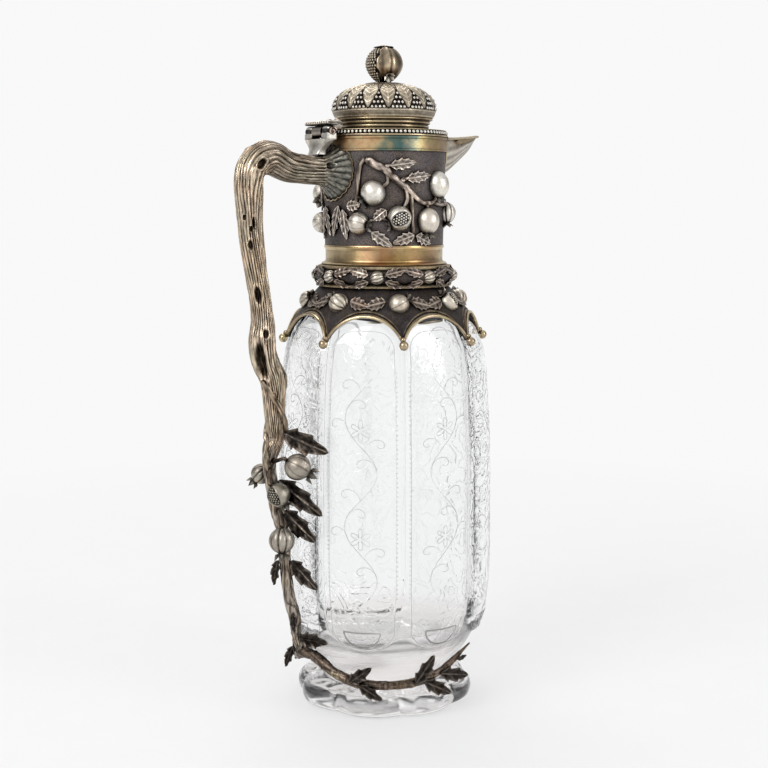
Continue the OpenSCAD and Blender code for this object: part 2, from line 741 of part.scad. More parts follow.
// Seeds stand in rows on the back of the split
module finial_seeds() {
    arc_r = split_r - finial_seed_r - 0.08;
    color(silver) on_lid() rotate(split_az) for (j = [-1:1]) for (i = [-2:2])
        translate([split_out - arc_r * cos(i * 25), j * finial_r * 0.225, finial_z + arc_r * sin(i * 25)])
            sphere(finial_seed_r, $fn = 16);
}

crown_az = -103;
crown_lean = 122;
module finial_crown() {
    color(silver) on_lid() translate([0, 0, finial_z]) rotate([0, 0, crown_az]) rotate([0, crown_lean, 0])
        difference() {
            rotate_extrude($fn = 24) polygon([[0, finial_r - 0.4], [1.4, finial_r - 0.4],
                [2.2, finial_r + 1.1], [1.5, finial_r + 1], [0, finial_r + 0.5]]);
            sphere(finial_r + touch);
        }
}

module finial_stud() {
    color(silver) on_lid() translate([0, 0, dome_top - 4.4]) cylinder(r = stud_r, h = 9);
}

module finial_nut() {
    z = dome_top - dome_t * 1.1 - seat_gap - 2;
    color(silver) on_lid() difference() {
        translate([0, 0, z]) cylinder(r = stud_r * 2.2, h = 2, $fn = 6);
        translate([0, 0, z - 1]) cylinder(r = stud_r + stud_fit, h = 4);
    }
}

// ---- Hinge ------------------------------------------------------------

outer_knuckle_w = (hinge_w - mid_knuckle_w) / 2 - side_fit;

module along_hinge(y, w) {
    translate([hinge_x, y, hinge_z]) rotate([-90, 0, 0]) translate([0, 0, -w / 2]) children();
}

module knuckle(y, w) {
    along_hinge(y, w) cylinder(r = knuckle_r, h = w);
}

module pin_bore() {
    along_hinge(0, hinge_w + 2) cylinder(r = pin_r + pin_fit, h = hinge_w + 2);
}

root_z = sleeve_z + root_up;
bracket_top = hinge_z - knuckle_r - 0.9;

module hinge_bracket() {
    side_y = (hinge_w - outer_knuckle_w) / 2;
    seat = root_z + branch_r + 0.4;
    color(silver) difference() {
        union() {
            for (s = [-1, 1]) {
                knuckle(s * side_y, outer_knuckle_w);
                translate([hinge_x - knuckle_r * 0.9, s * side_y - outer_knuckle_w / 2, bracket_top - 0.5])
                    cube([knuckle_r * 1.8, outer_knuckle_w, hinge_z - bracket_top + 0.5]);
            }
            intersection() {
                translate([0, hinge_w / 2, 0]) rotate([90, 0, 0]) linear_extrude(hinge_w)
                    polygon([[hinge_x - 3.4, bracket_top], [hinge_x + 3.2, bracket_top],
                             [hinge_x + 0.6, seat + 1.6], [hinge_x + 0.2, seat],
                             [hinge_x - 6, seat], [hinge_x - 3.2, seat + 2]]);
                translate([hinge_x - 12, 0, 0]) rotate([90, 0, 90]) linear_extrude(24)
                    polygon([[-hinge_w / 2, bracket_top], [hinge_w / 2, bracket_top],
                             [hinge_w * 0.34, seat + 2.4], [hinge_w * 0.2, seat],
                             [-hinge_w * 0.2, seat], [-hinge_w * 0.34, seat + 2.4]]);
            }
        }
        pin_bore();
    }
}

module hinge_pin() {
    color(silver) along_hinge(0, hinge_w) cylinder(r = pin_r, h = hinge_w);
}

thumb_z = hinge_z + knuckle_r + seat_gap;

module lid_lug() {
    front = flange_r - 3;
    color(silver) on_lid() difference() {
        union() {
            knuckle(0, mid_knuckle_w);
            translate([hinge_x, -mid_knuckle_w / 2, hinge_z - 0.6])
                cube([-hinge_x - front, mid_knuckle_w, thumb_z - hinge_z + 0.6]);
            translate([-front, mid_knuckle_w / 2, thumb_z]) rotate([90, 0, 0])
                cylinder(r = 1.5, h = mid_knuckle_w);
        }
        pin_bore();
        cylinder(r = flange_r + touch, h = step_z);
    }
}

module thumb_plate() {
    ribs = 11;
    back = hinge_x - knuckle_r;
    front = -flange_r + 1;
    color(gilt) on_lid() difference() {
        translate([back, -hinge_w / 2, thumb_z]) cube([front - back, hinge_w, thumb_t]);
        for (i = [0:ribs - 1])
            translate([back - 1, -hinge_w / 2 + (i + 0.5) * hinge_w / ribs, thumb_z + thumb_t + 0.15])
                rotate([0, 90, 0]) cylinder(r = 0.55, h = front - back + 2, $fn = 24);
    }
}

// ---- Handle -----------------------------------------------------------

root_len = 7;
root_face_x = -(sleeve_top_r + root_len);

module handle_root() {
    flare = root_flare_r - branch_r;
    color(bark) difference() {
        translate([root_face_x, 0, root_z]) rotate([0, 90, 0]) rotate_extrude()
            polygon(concat([[0, 0], [branch_r, 0]],
                [for (i = [1:6]) let (t = i / 6) [branch_r + flare * pow(t, 2.4), (root_len + 2) * t]],
                [[0, root_len + 2]]));
        inside_sleeve();
        // Room under the bracket
        translate([hinge_x - 8, -hinge_w / 2, root_z + branch_r + 0.4 - seat_gap])
            cube([14, hinge_w, 12]);
    }
}

// Centre line of the branch in the plane of the handle: distance outwards from the root's face,
// drop below the root, radius as a share of branch_r
reach = branch_reach - root_len;
drop = root_z - lobe_z;
branch_places = [
    [0, 0, 1], [0.22, -0.002, 0.97], [0.45, -0.008, 1.03], [0.66, -0.0235, 1.12], [0.8, -0.0205, 1.1],
    [0.905, -0.008, 1.04], [0.965, 0.012, 1.02], [0.988, 0.04, 0.97], [0.992, 0.074, 0.9],
    [0.985, 0.11, 0.85], [0.96, 0.15, 0.82], [0.92, 0.19, 0.78], [0.875, 0.23, 0.74],
    [0.835, 0.27, 0.73], [0.81, 0.31, 0.8], [0.805, 0.345, 0.98], [0.79, 0.375, 1.02],
    [0.755, 0.4, 0.96], [0.7, 0.425, 0.86], [0.67, 0.455, 0.8], [0.66, 0.485, 0.74],
    [0.645, 0.52, 0.68], [0.64, 0.545, 0.6]];

// Line of the stem beside the glass, and the share of the reach at which it runs. Below the elbow
// the branch leans with that line.
stem_x = crest_r + stem_off + stem_r;
stem_share = 0.5455;
lean = stem_x + root_face_x - reach * stem_share;

function branch_point(p) =
    [root_face_x - reach * p[0] - lean * smooth(p[1] / 0.45), 0, root_z - drop * p[1]];

// Hollows of the bark: place along the branch, side in degrees, half length, half width, depth
hollows = [[6, 30, 0.9, 26, 1.1], [11.6, 35, 0.8, 20, 1.4], [15.8, 35, 1.3, 32, 2.6]];

function hollow_at(i, a) = max([for (h = hollows)
    h[4] * smooth(1.3 - norm([(i - h[0]) / h[2], (a - h[1]) / h[3]]))]);

// Rings between the chosen points, by a cubic through them
branch_fine = 2;
function cubic(p0, p1, p2, p3, t) =
    0.5 * (2 * p1 + (p2 - p0) * t + (2 * p0 - 5 * p1 + 4 * p2 - p3) * t * t
           + (3 * p1 - p0 - 3 * p2 + p3) * t * t * t);
function fine(list, step) =
    let (m = len(list))
    [for (i = [0:m - 2]) for (j = [0:step - 1])
        cubic(list[max(0, i - 1)], list[i], list[i + 1], list[min(m - 1, i + 2)], j / step),
     list[m - 1]];

branch_path = fine([for (p = branch_places) branch_point(p)], branch_fine);
branch_radii = fine([for (p = branch_places) p[2] * branch_r], branch_fine);

module handle_branch() {
    n = len(branch_path);
    color(bark) skin([for (i = [0:n - 1])
        let (t = i == 0 ? [-1, 0, 0] : tangent(branch_path, i), ends = i == 0 || i == n - 1,
             base = branch_radii[i], s = i / branch_fine)
        ring(branch_path[i] - (i == 0 ? [0.02, 0, 0] : [0, 0, 0]), t, [0, 1, 0],
             [for (k = [0:bark_sides - 1]) let (a = 360 * k / bark_sides)
                 base * (ends ? 0.98 : 1 + 0.05 * sin(3 * a + 40 * s)) - (ends ? 0 : hollow_at(s, a))])]);
}

// Thin stem down the side of the body: place beyond the resting line beside the glass, share of
// the drop, place along Y
stem_places = [
    [3.3, 0.5474, 0], [3.5, 0.56, 0], [6.3, 0.597, 0], [5.7, 0.64, 0], [2.9, 0.705, 0],
    [0, 0.75, 0], [-0.8, 0.815, 0], [-1, 0.859, -1.2], [-1.8, 0.904, -3], [-3, 0.939, -4.6],
    [-4.6, 0.972, -2.4], [-6.6, 0.996, -0.8], [-8, 1.014, 0]];

stem_path = fine([for (p = stem_places) [-(stem_x + p[0]), p[2], root_z - drop * p[1]]], 2);
stem_radii = [for (i = [0:len(stem_path) - 1])
    stem_r * lerp(1.28, 0.86, i / (len(stem_path) - 1)) * (1 + 0.07 * sin(i * 47))];

module handle_stem() {
    color(bark) tube(stem_path, stem_radii, [0, 1, 0], 10);
}

// Twig winding round the lower part of the branch and the top of the stem
module handle_twig() {
    first = len(branch_path) - 14;
    spine = concat([for (i = [first:len(branch_path) - 1]) branch_path[i]],
                   [for (i = [1:3]) stem_path[i]]);
    around = concat([for (i = [first:len(branch_path) - 1]) branch_radii[i] * 1.05],
                    [for (i = [1:3]) stem_radii[i] * 1.04]);
    n = len(spine);
    path = [for (i = [0:n - 1]) let (a = 250 + i * 19, r = around[i] + twig_r + 0.35)
        spine[i] + r * [cos(a), sin(a), 0]];
    color(bark) tube(path, [for (i = [0:n - 1]) twig_r * lerp(1, 0.7, i / (n - 1))], [0, 1, 0], 8);
}

// Pomegranates on the stem: ring of the stem near it, place from there, radius, direction of the
// crown, ring that carries the stalk
handle_fruit_places = [
    [6, [-0.5, 7.7, 1.6], 4.5, [-0.4, 0.6, -0.7], 4],
    [2, [2.7, -14.3, -8.9], 5.7, [0.75, -0.2, -0.5], 4],
    [6, [-1.3, -8.8, -4.7], 5, [0.5, -0.3, -0.8], 5],
    [8, [-2.5, -8.6, -11.2], 5.6, [-0.05, -0.1, -1], 8]];

module handle_fruits() {
    color(silver) for (f = handle_fruit_places) {
        d = unit(f[3]);
        translate(stem_path[f[0]] + f[1]) rotate([0, acos(d[2]) - 90, atan2(d[1], d[0])]) fruit(f[2]);
    }
}

// Stalks leave the stem squarely and end on the fruit opposite its crown
module fruit_stalks() {
    bend = 1.1;
    color(bark) for (f = handle_fruit_places) {
        crown = unit(f[3]);
        from = stem_path[f[4]];
        end = stem_path[f[0]] + f[1] - crown * (f[2] + seat_gap);
        side = unit([end[0] - from[0], end[1] - from[1], 0]);
        start = from + side * (stem_radii[f[4]] + seat_gap);
        tube([start, start + side * bend, end - crown * bend, end], [0.9, 0.75, 0.7, 0.9],
             [0.1, 0.1, 1], 8);
    }
}

// Leaves on the stem: ring that carries it, side it grows from, direction, share of the length,
// fold. Ring -1 is the last but one of the branch.
handle_leaf_places = [
    [-1, [10, -23, -7], [10.5, -23.2, -7.4], 1.1, 0.35],
    [6, [0.7, -0.7, 0], [11.5, -24.7, -16.4], 1.22, 0.06],
    [8, [0.6, -0.8, 0], [6.4, -18.7, -13.5], 0.98, 0.15],
    [12, [0.6, -0.8, 0], [4.4, -15.7, -11.6], 0.86, 0.3], [12, [-0.9, 0.5, 0], [-1.6, 1.2, -9], 0.55, 0.3],
    [17, [-0.5, -0.86, 0], [-0.6, -1.4, -7], 0.4, 0.3], [21, [0.3, -1, 0], [5, -18, 1], 0.72, 0.3],
    [23, [-1, 0.3, 0], [-3, 2.5, -9], 0.5, 0.3]];

function stem_leaf(p) =
    let (on_branch = p[0] < 0, last = len(branch_path) - 1,
         centre = on_branch ? branch_path[last + p[0]] : stem_path[p[0]],
         r = on_branch ? branch_radii[last + p[0]] * 1.05 : stem_radii[p[0]])
    placed(leaf_rings(leaf_l * p[3], leaf_w * min(1, p[3]), leaf_t, p[4], 0.06),
           centre + unit(p[1]) * (r + seat_gap + leaf_t / 2), p[2], [-1, -0.35, 0.2]);

module handle_leaves() {
    color(oxidised) for (p = handle_leaf_places) skin(stem_leaf(p));
}

// ---- Vine round the foot ------------------------------------------------

vine_in = crest_r - 9.2;
vine_places = [[175, 14.6], [168, 12.4], [160, 9.8], [150, 7.6], [138, 5.8], [124, 5.4], [110, 5.6],
               [98, 6.6], [86, 8.6], [76, 11], [66, 14], [57, 17.4]];

// Centre of the vine at a place: outside the plain cone, and lifted as the list says
function vine_point(p) =
    let (z = waist_z + p[1])
    polar(max(vine_in, core(z) + vine_r + seat_gap + 0.3), -p[0], z);

vine_path = fine([for (p = vine_places) vine_point(p)], 2);
vine_radii = [for (i = [0:len(vine_path) - 1])
    vine_r * lerp(1, 0.45, pow(i / (len(vine_path) - 1), 2)) * (1 + 0.07 * sin(i * 61))];

module foot_vine() {
    color(bark) for (side = [1, -1]) on_side(side) tube(vine_path, vine_radii, [0, 0, 1], 8);
}

// Leaves on the vine: ring that carries it, heading round, rise, reach outwards, length
vine_leaf_places = [[7, 12, 9, 0.6, 13], [8, 12, -6, 1.4, 12], [13, 9, 12.4, 0.6, 15],
                    [14, 13, -7, 1, 14.5], [16, 17, -3.6, 2.4, 15], [19, 5, 1, 1.5, 5.4]];

module foot_leaves() {
    color(oxidised) for (side = [1, -1]) on_side(side) for (p = vine_leaf_places) {
        centre = vine_path[p[0]];
        out = unit([centre[0], centre[1], 0]);
        dir = p[1] * [-out[1], out[0], 0] + [0, 0, p[2]] + p[3] * out;
        skin(placed(leaf_rings(p[4], p[4] * 0.4, leaf_t, 0.3, 0.02),
                    centre + out * (vine_radii[p[0]] + seat_gap + leaf_t / 2), dir, out));
    }
}

glass_body();
neck_cement();
neck_liner();
shoulder_collar();
collar_edge_wire();
collar_ball_tips();
collar_fruits();
collar_leaves();
knop_band();
knop_fruits();
knop_leaves();
gilt_band();
neck_sleeve();
neck_twigs();
neck_fruits();
neck_leaves();
rim_band();
spout();
spout_drop();
hinge_bracket();
hinge_pin();
lid_lug();
thumb_plate();
lid_flange();
lid_beads();
lid_bezel();
lid_steps();
lid_dome();
finial_fruit();
finial_seeds();
finial_crown();
finial_stud();
finial_nut();
handle_root();
handle_branch();
handle_twig();
handle_stem();
handle_fruits();
fruit_stalks();
handle_leaves();
foot_vine();
foot_leaves();
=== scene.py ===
"""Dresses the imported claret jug: lobed cut glass, cast silver-gilt mounts, a lid and a branch handle.

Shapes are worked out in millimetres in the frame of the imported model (+Z up, spout towards +X, handle
towards -X) and become metres when a mesh is made.
"""
import json
import logging
import math
from dataclasses import dataclass, field, fields, replace
from enum import Enum
from typing import Callable, Sequence

import bpy
import numpy as np
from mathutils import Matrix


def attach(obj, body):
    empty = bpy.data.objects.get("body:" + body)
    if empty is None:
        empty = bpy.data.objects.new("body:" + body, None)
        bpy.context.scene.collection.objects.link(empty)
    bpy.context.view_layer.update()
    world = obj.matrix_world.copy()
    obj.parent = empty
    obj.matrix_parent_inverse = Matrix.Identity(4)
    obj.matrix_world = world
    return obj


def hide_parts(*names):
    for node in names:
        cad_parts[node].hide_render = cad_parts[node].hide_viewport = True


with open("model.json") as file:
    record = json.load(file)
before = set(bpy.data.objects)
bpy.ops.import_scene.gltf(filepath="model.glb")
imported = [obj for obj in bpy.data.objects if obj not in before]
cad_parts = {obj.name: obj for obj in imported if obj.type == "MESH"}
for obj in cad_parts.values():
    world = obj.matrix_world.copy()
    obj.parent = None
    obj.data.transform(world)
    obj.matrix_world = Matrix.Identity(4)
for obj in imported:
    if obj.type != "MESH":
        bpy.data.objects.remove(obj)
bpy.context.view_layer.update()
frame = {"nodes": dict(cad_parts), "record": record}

Array = np.ndarray
Colour = tuple[float, float, float]
LOG = logging.getLogger("claret_jug")
MM = 0.001
CREASE = math.radians(42.0)


# ---- Sums on whole arrays ----

def smooth(x: Array) -> Array:
    """Eased share: 3x^2 - 2x^3 of x held between 0 and 1."""
    held = np.clip(x, 0.0, 1.0)
    return held * held * (3.0 - 2.0 * held)


def unit(vectors: Array) -> Array:
    """Vectors divided by their lengths."""
    return vectors / np.maximum(np.linalg.norm(vectors, axis=-1, keepdims=True), 1e-12)


def polar(radius: Array, degrees: Array, height: Array) -> Array:
    """Points (radius cos a, radius sin a, height) for azimuths in degrees."""
    turn = np.radians(degrees)
    parts = np.broadcast_arrays(radius * np.cos(turn), radius * np.sin(turn), height)
    return np.stack(parts, axis=-1)


def through(places: Sequence, count: int) -> Array:
    """Smooth line through places.

    Each stretch is the cubic that leaves and meets its ends along the line between their neighbours
    (Catmull-Rom), sampled at even steps of the place's number.

    Args:
        places: The points, one a row.
        count: How many samples to give.

    Returns:
        The samples, one a row.
    """
    rows = np.asarray(places, float)
    t = np.linspace(0.0, len(rows) - 1.0, count)
    i = np.minimum(t.astype(int), len(rows) - 2)
    t = (t - i)[:, None]
    held = np.vstack([rows[:1], rows, rows[-1:]])
    a, b, c, d = held[i], held[i + 1], held[i + 2], held[i + 3]
    return 0.5 * (2 * b + (c - a) * t + (2 * a - 5 * b + 4 * c - d) * t ** 2
                  + (3 * b - a - 3 * c + d) * t ** 3)


def eased_table(x: Array, table: Sequence) -> Array:
    """Value at x in a table of (x, value) rows, joined by cubics with the mean slope at each row.

    Args:
        x: Where to read the table.
        table: Rows of x and value, x rising.

    Returns:
        The values, in the shape of x.
    """
    rows = np.asarray(table, float)
    xs, ys = rows[:, 0], rows[:, 1]
    slope = np.gradient(ys, xs)
    held = np.clip(x, xs[0], xs[-1])
    i = np.clip(np.searchsorted(xs, held, side="right") - 1, 0, len(xs) - 2)
    step = xs[i + 1] - xs[i]
    t = (held - xs[i]) / step
    return ((1 + 2 * t) * (1 - t) ** 2 * ys[i] + t * (1 - t) ** 2 * step * slope[i]
            + t * t * (3 - 2 * t) * ys[i + 1] + t * t * (t - 1) * step * slope[i + 1])


def ridge(distance: Array, width: float) -> Array:
    """Soft line: e to the minus square of distance over width."""
    return np.exp(-np.square(distance / width))


def blunted(wave: Array, power: float) -> Array:
    """Sign of a wave times its size to a power, which under 1 squares a circle off."""
    return np.sign(wave) * np.abs(wave) ** power


def rounded(corners: Sequence, radius: float = 0.35, steps: int = 4) -> Array:
    """Closed outline with each corner eased.

    Each corner becomes the quadratic curve from a point on its first side to one on its second,
    drawn towards the corner itself.

    Args:
        corners: The outline's corners, one (radius, height) a row.
        radius: How far from the corner the curve starts, at most 0.45 of a side.
        steps: Points on each curve.

    Returns:
        The eased outline, one point a row.
    """
    p = np.asarray(corners, float)
    before, after = np.roll(p, 1, 0) - p, np.roll(p, -1, 0) - p
    reach_in = np.minimum(radius, 0.45 * np.linalg.norm(before, axis=1))[:, None]
    reach_out = np.minimum(radius, 0.45 * np.linalg.norm(after, axis=1))[:, None]
    start, end = p + unit(before) * reach_in, p + unit(after) * reach_out
    t = np.linspace(0.0, 1.0, steps)[None, :, None]
    curve = (1 - t) ** 2 * start[:, None] + 2 * t * (1 - t) * p[:, None] + t * t * end[:, None]
    return curve.reshape(-1, 2)


@dataclass(frozen=True)
class Grain:
    """Seeded soft noise that closes round a piece."""

    seed: int
    around: int
    along: int

    def at(self, u: Array, v: Array) -> Array:
        """Noise between -1 and 1.

        Random values on a lattice of around by along cells are joined by eased steps.

        Args:
            u: Share of the way round, repeating at 1.
            v: Share of the way along, from 0 to 1.

        Returns:
            The noise, in the shape of u and v together.
        """
        table = np.random.default_rng(self.seed).uniform(-1.0, 1.0, (self.along + 2, self.around))
        x = np.mod(u, 1.0) * self.around
        y = np.clip(v, 0.0, 1.0) * self.along
        i, j = np.floor(x).astype(int), np.floor(y).astype(int)
        fx, fy = smooth(x - i), smooth(y - j)
        left, right = i % self.around, (i + 1) % self.around
        low = table[j, left] * (1 - fx) + table[j, right] * fx
        high = table[j + 1, left] * (1 - fx) + table[j + 1, right] * fx
        return low * (1 - fy) + high * fy


# ---- Solids ----

@dataclass
class Solid:
    """A closed surface: points in millimetres, faces, and what the finish reads at each point."""

    points: Array
    quads: Array
    tris: Array
    relief: Array
    gilding: Array
    flow: Array

    @classmethod
    def lofted(cls, grid: Array, relief: Array | float = 1.0, gilding: Array | float = 0.0,
               looped: bool = False, flow: Array | None = None) -> "Solid":
        """Skins a grid of rings.

        Args:
            grid: Rings by points by three; each ring closes on itself.
            relief: Height of the relief from 0 in its hollows to 1, one for all or one a point.
            gilding: Share of gilding, one for all or one a point.
            looped: Whether the last ring joins the first, as on a hoop. If not, a fan to the
                middle of each end ring closes the ends.
            flow: Where the finish reads its grain at each point, if not at the point itself.

        Returns:
            The closed solid, its faces outwards.
        """
        rings, count, _ = grid.shape
        index = np.arange(rings * count).reshape(rings, count)
        low, high = (index, np.roll(index, -1, 0)) if looped else (index[:-1], index[1:])
        quads = np.stack([low, np.roll(low, -1, 1), np.roll(high, -1, 1), high], -1).reshape(-1, 4)
        flat = grid.reshape(-1, 3)
        grain = flat if flow is None else flow.reshape(-1, 3)
        marks = [np.broadcast_to(np.asarray(m, float), (rings, count)).reshape(-1) for m in (relief, gilding)]
        tris = np.zeros((0, 3), int)
        if not looped:
            ends = rings * count
            fans = []
            for ring, pole, turn in ((index[0], ends, -1), (index[-1], ends + 1, 1)):
                fans.append(np.stack([ring[::turn], np.roll(ring[::turn], -1), np.full(count, pole)], -1))
            tris = np.concatenate(fans)
            flat = np.vstack([flat, grid[0].mean(0), grid[-1].mean(0)])
            grain = np.vstack([grain, grain[:count].mean(0), grain[-count:].mean(0)])
            marks = [np.concatenate([m, [m[:count].mean(), m[-count:].mean()]]) for m in marks]
        return cls(flat, quads, tris, marks[0], marks[1], grain).outward()

    @classmethod
    def joined(cls, solids: Sequence["Solid"]) -> "Solid":
        """Several solids as one mesh, each still closed by itself."""
        starts = np.cumsum([0] + [len(s.points) for s in solids])
        parts = {part.name: [getattr(s, part.name) for s in solids] for part in fields(cls)}
        for name in ("quads", "tris"):
            parts[name] = [faces + start for faces, start in zip(parts[name], starts)]
        return cls(**{name: np.concatenate(arrays) for name, arrays in parts.items()})

    @classmethod
    def on_both_sides(cls, solids: Sequence["Solid"]) -> "Solid":
        """Several solids and their mirror images on the far side of the jug."""
        near = cls.joined(solids)
        return cls.joined([near, near.mirrored()])

    def volume(self) -> float:
        """Sum over the triangles of a sixth of a . (b x c)."""
        split = np.concatenate([self.quads[:, [0, 1, 2]], self.quads[:, [0, 2, 3]], self.tris])
        a, b, c = (self.points[split[:, k]] for k in range(3))
        return float(np.einsum("ij,ij->i", a, np.cross(b, c)).sum() / 6.0)

    def outward(self) -> "Solid":
        """The solid with its faces turned outwards, by the sign of its volume."""
        if self.volume() < 0:
            self.quads, self.tris = self.quads[:, ::-1], self.tris[:, ::-1]
        return self

    def placed(self, base: Array, along: Array, normal: Array) -> "Solid":
        """A turned copy.

        Args:
            base: Where the piece's own origin goes.
            along: Direction of its own x.
            normal: Its own z turns as near to this as x allows.

        Returns:
            The copy, its points being base + x a + y b + z c.
        """
        a = unit(np.asarray(along, float))
        b = unit(np.cross(np.asarray(normal, float), a))
        turn = np.stack([a, b, np.cross(a, b)])
        return replace(self, points=self.points @ turn + np.asarray(base, float))

    def moved(self, change: Callable[[Array], Array]) -> "Solid":
        """A copy with its points changed by a function and its faces outwards."""
        return replace(self, points=change(self.points)).outward()

    def mirrored(self) -> "Solid":
        """A copy on the far side of the jug: y becomes -y."""
        return self.moved(lambda p: p * np.array([1.0, -1.0, 1.0]))

    def repeated(self, centres: Array, sizes: Array | float = 1.0) -> "Solid":
        """Copies of the solid at many centres.

        Args:
            centres: Where they go, one a row.
            sizes: Scale of each, or of all.

        Returns:
            All copies as one solid.
        """
        centres = np.atleast_2d(centres)
        n, m = len(centres), len(self.points)
        scale = np.broadcast_to(sizes, (n,))[:, None, None]
        shift = (np.arange(n) * m)[:, None, None]
        points = (self.points[None] * scale + centres[:, None]).reshape(-1, 3)
        return Solid(points, (self.quads[None] + shift).reshape(-1, 4),
                     (self.tris[None] + shift).reshape(-1, 3), np.tile(self.relief, n),
                     np.tile(self.gilding, n), points)


def turned(outline: Array, columns: int = 288, relief: Array | float = 1.0,
           gilding: Array | float = 0.0) -> Solid:
    """A ring turned about the jug's axis: each outline point (r, z) goes to (r cos a, r sin a, z).

    Args:
        outline: Closed outline, one (radius, height) a row.
        columns: Points round the ring.
        relief: Relief of each outline point, or of all.
        gilding: Gilding of each outline point, or of all.

    Returns:
        The closed ring.
    """
    angles = np.arange(columns) * 360.0 / columns
    grid = polar(outline[:, :1], angles[None], outline[:, 1:])
    marks = [np.broadcast_to(np.asarray(m, float).reshape(-1, 1) if np.ndim(m) else m, grid.shape[:2])
             for m in (relief, gilding)]
    return Solid.lofted(grid, marks[0], marks[1], looped=True)


def sections(path: Array, radii: Array, reference: Sequence[float]) -> Array:
    """Rings square to a path.

    With t the path's direction, u = t x reference and w = t x u, ring point k is the path's point
    plus radius times (u cos k + w sin k).

    Args:
        path: Points of the centre line.
        radii: Radius of each point of each ring, rings by points.
        reference: A direction that no part of the path follows.

    Returns:
        Rings by points by three.
    """
    t = unit(np.gradient(path, axis=0))
    u = unit(np.cross(t, np.asarray(reference, float)))
    w = np.cross(t, u)
    turn = np.arange(radii.shape[1]) * 2 * np.pi / radii.shape[1]
    spokes = u[:, None] * np.cos(turn)[None, :, None] + w[:, None] * np.sin(turn)[None, :, None]
    return path[:, None] + radii[..., None] * spokes


def moulding(path: Array, across: Array, out: Array, wide: float, high: float, count: int = 8,
             looped: bool = True) -> Solid:
    """A gilt moulding of oval section carried along a path.

    Ring point k is the path's point plus wide times across cos k plus high times out sin k.

    Args:
        path: Points of its centre line.
        across: Unit direction across it at each point.
        out: Unit direction out of it at each point.
        wide: Half width.
        high: Half height.
        count: Points round the section.
        looped: Whether the path closes on itself.

    Returns:
        The closed moulding.
    """
    k = (np.arange(count) * 2 * np.pi / count)[None, :, None]
    grid = path[:, None] + wide * across[:, None] * np.cos(k) + high * out[:, None] * np.sin(k)
    return Solid.lofted(grid, 1.0, 1.0, looped=looped)


def ball(radius: float, rings: int = 6, count: int = 8) -> Solid:
    """A ball: rings of radius R sin a at height -R cos a, with fans at the poles."""
    a = np.linspace(0.0, np.pi, rings + 2)[1:-1]
    turn = np.arange(count) * 2 * np.pi / count
    grid = np.stack([np.sin(a)[:, None] * np.cos(turn), np.sin(a)[:, None] * np.sin(turn),
                     -np.cos(a)[:, None] * np.ones(count)], -1) * radius
    solid = Solid.lofted(grid)
    solid.points[-2:] = [[0, 0, -radius], [0, 0, radius]]
    return solid


# ---- Finishes ----

@dataclass
class Bench:
    """Places shader nodes in one material and joins them."""

    tree: bpy.types.NodeTree

    def add(self, kind: str, settings: dict | None = None, inputs: dict | None = None) -> bpy.types.Node:
        """Adds a node.

        Args:
            kind: The node's type without its first word.
            settings: Properties to set.
            inputs: Sockets by name or number: another node's output is linked, a value is set.

        Returns:
            The node.
        """
        node = self.tree.nodes.new("ShaderNode" + kind)
        for key, value in (settings or {}).items():
            setattr(node, key, value)
        for key, value in (inputs or {}).items():
            if isinstance(value, bpy.types.NodeSocket):
                self.tree.links.new(value, node.inputs[key])
            else:
                node.inputs[key].default_value = value
        return node

    def sum(self, kind: str, a: object, b: object, clamp: bool = False) -> bpy.types.NodeSocket:
        """Output of a Math node on two values or sockets."""
        return self.add("Math", {"operation": kind, "use_clamp": clamp}, {0: a, 1: b}).outputs[0]

    def spread(self, value: object, low: float, high: float, to_low: float = 0.0,
               to_high: float = 1.0) -> bpy.types.NodeSocket:
        """Value carried from one range to another and held there."""
        ends = {1: low, 2: high, 3: to_low, 4: to_high}
        return self.add("MapRange", {"clamp": True}, {0: value, **ends}).outputs[0]

    def mix(self, share: object, a: object, b: object) -> bpy.types.NodeSocket:
        """Colour between a and b."""
        pair = [(*c, 1.0) if isinstance(c, tuple) and len(c) == 3 else c for c in (a, b)]
        node = self.add("Mix", {"data_type": "RGBA"}, {0: share, 6: pair[0], 7: pair[1]})
        return node.outputs[2]

    def noise(self, place: object, scale: float, detail: float = 3.0,
              rough: float = 0.55) -> bpy.types.NodeSocket:
        """Noise of a given scale on a place."""
        return self.add("TexNoise", None, {"Vector": place, "Scale": scale, "Detail": detail,
                                           "Roughness": rough}).outputs[0]

    def finish(self, shader: bpy.types.NodeSocket) -> None:
        """Joins a shader to the material's output."""
        self.tree.links.new(shader, self.add("OutputMaterial").inputs[0])


def new_material(name: str) -> tuple[bpy.types.Material, Bench]:
    """An empty node material and the bench to fill it."""
    made = bpy.data.materials.new(name)
    made.use_nodes = True
    made.node_tree.nodes.clear()
    return made, Bench(made.node_tree)


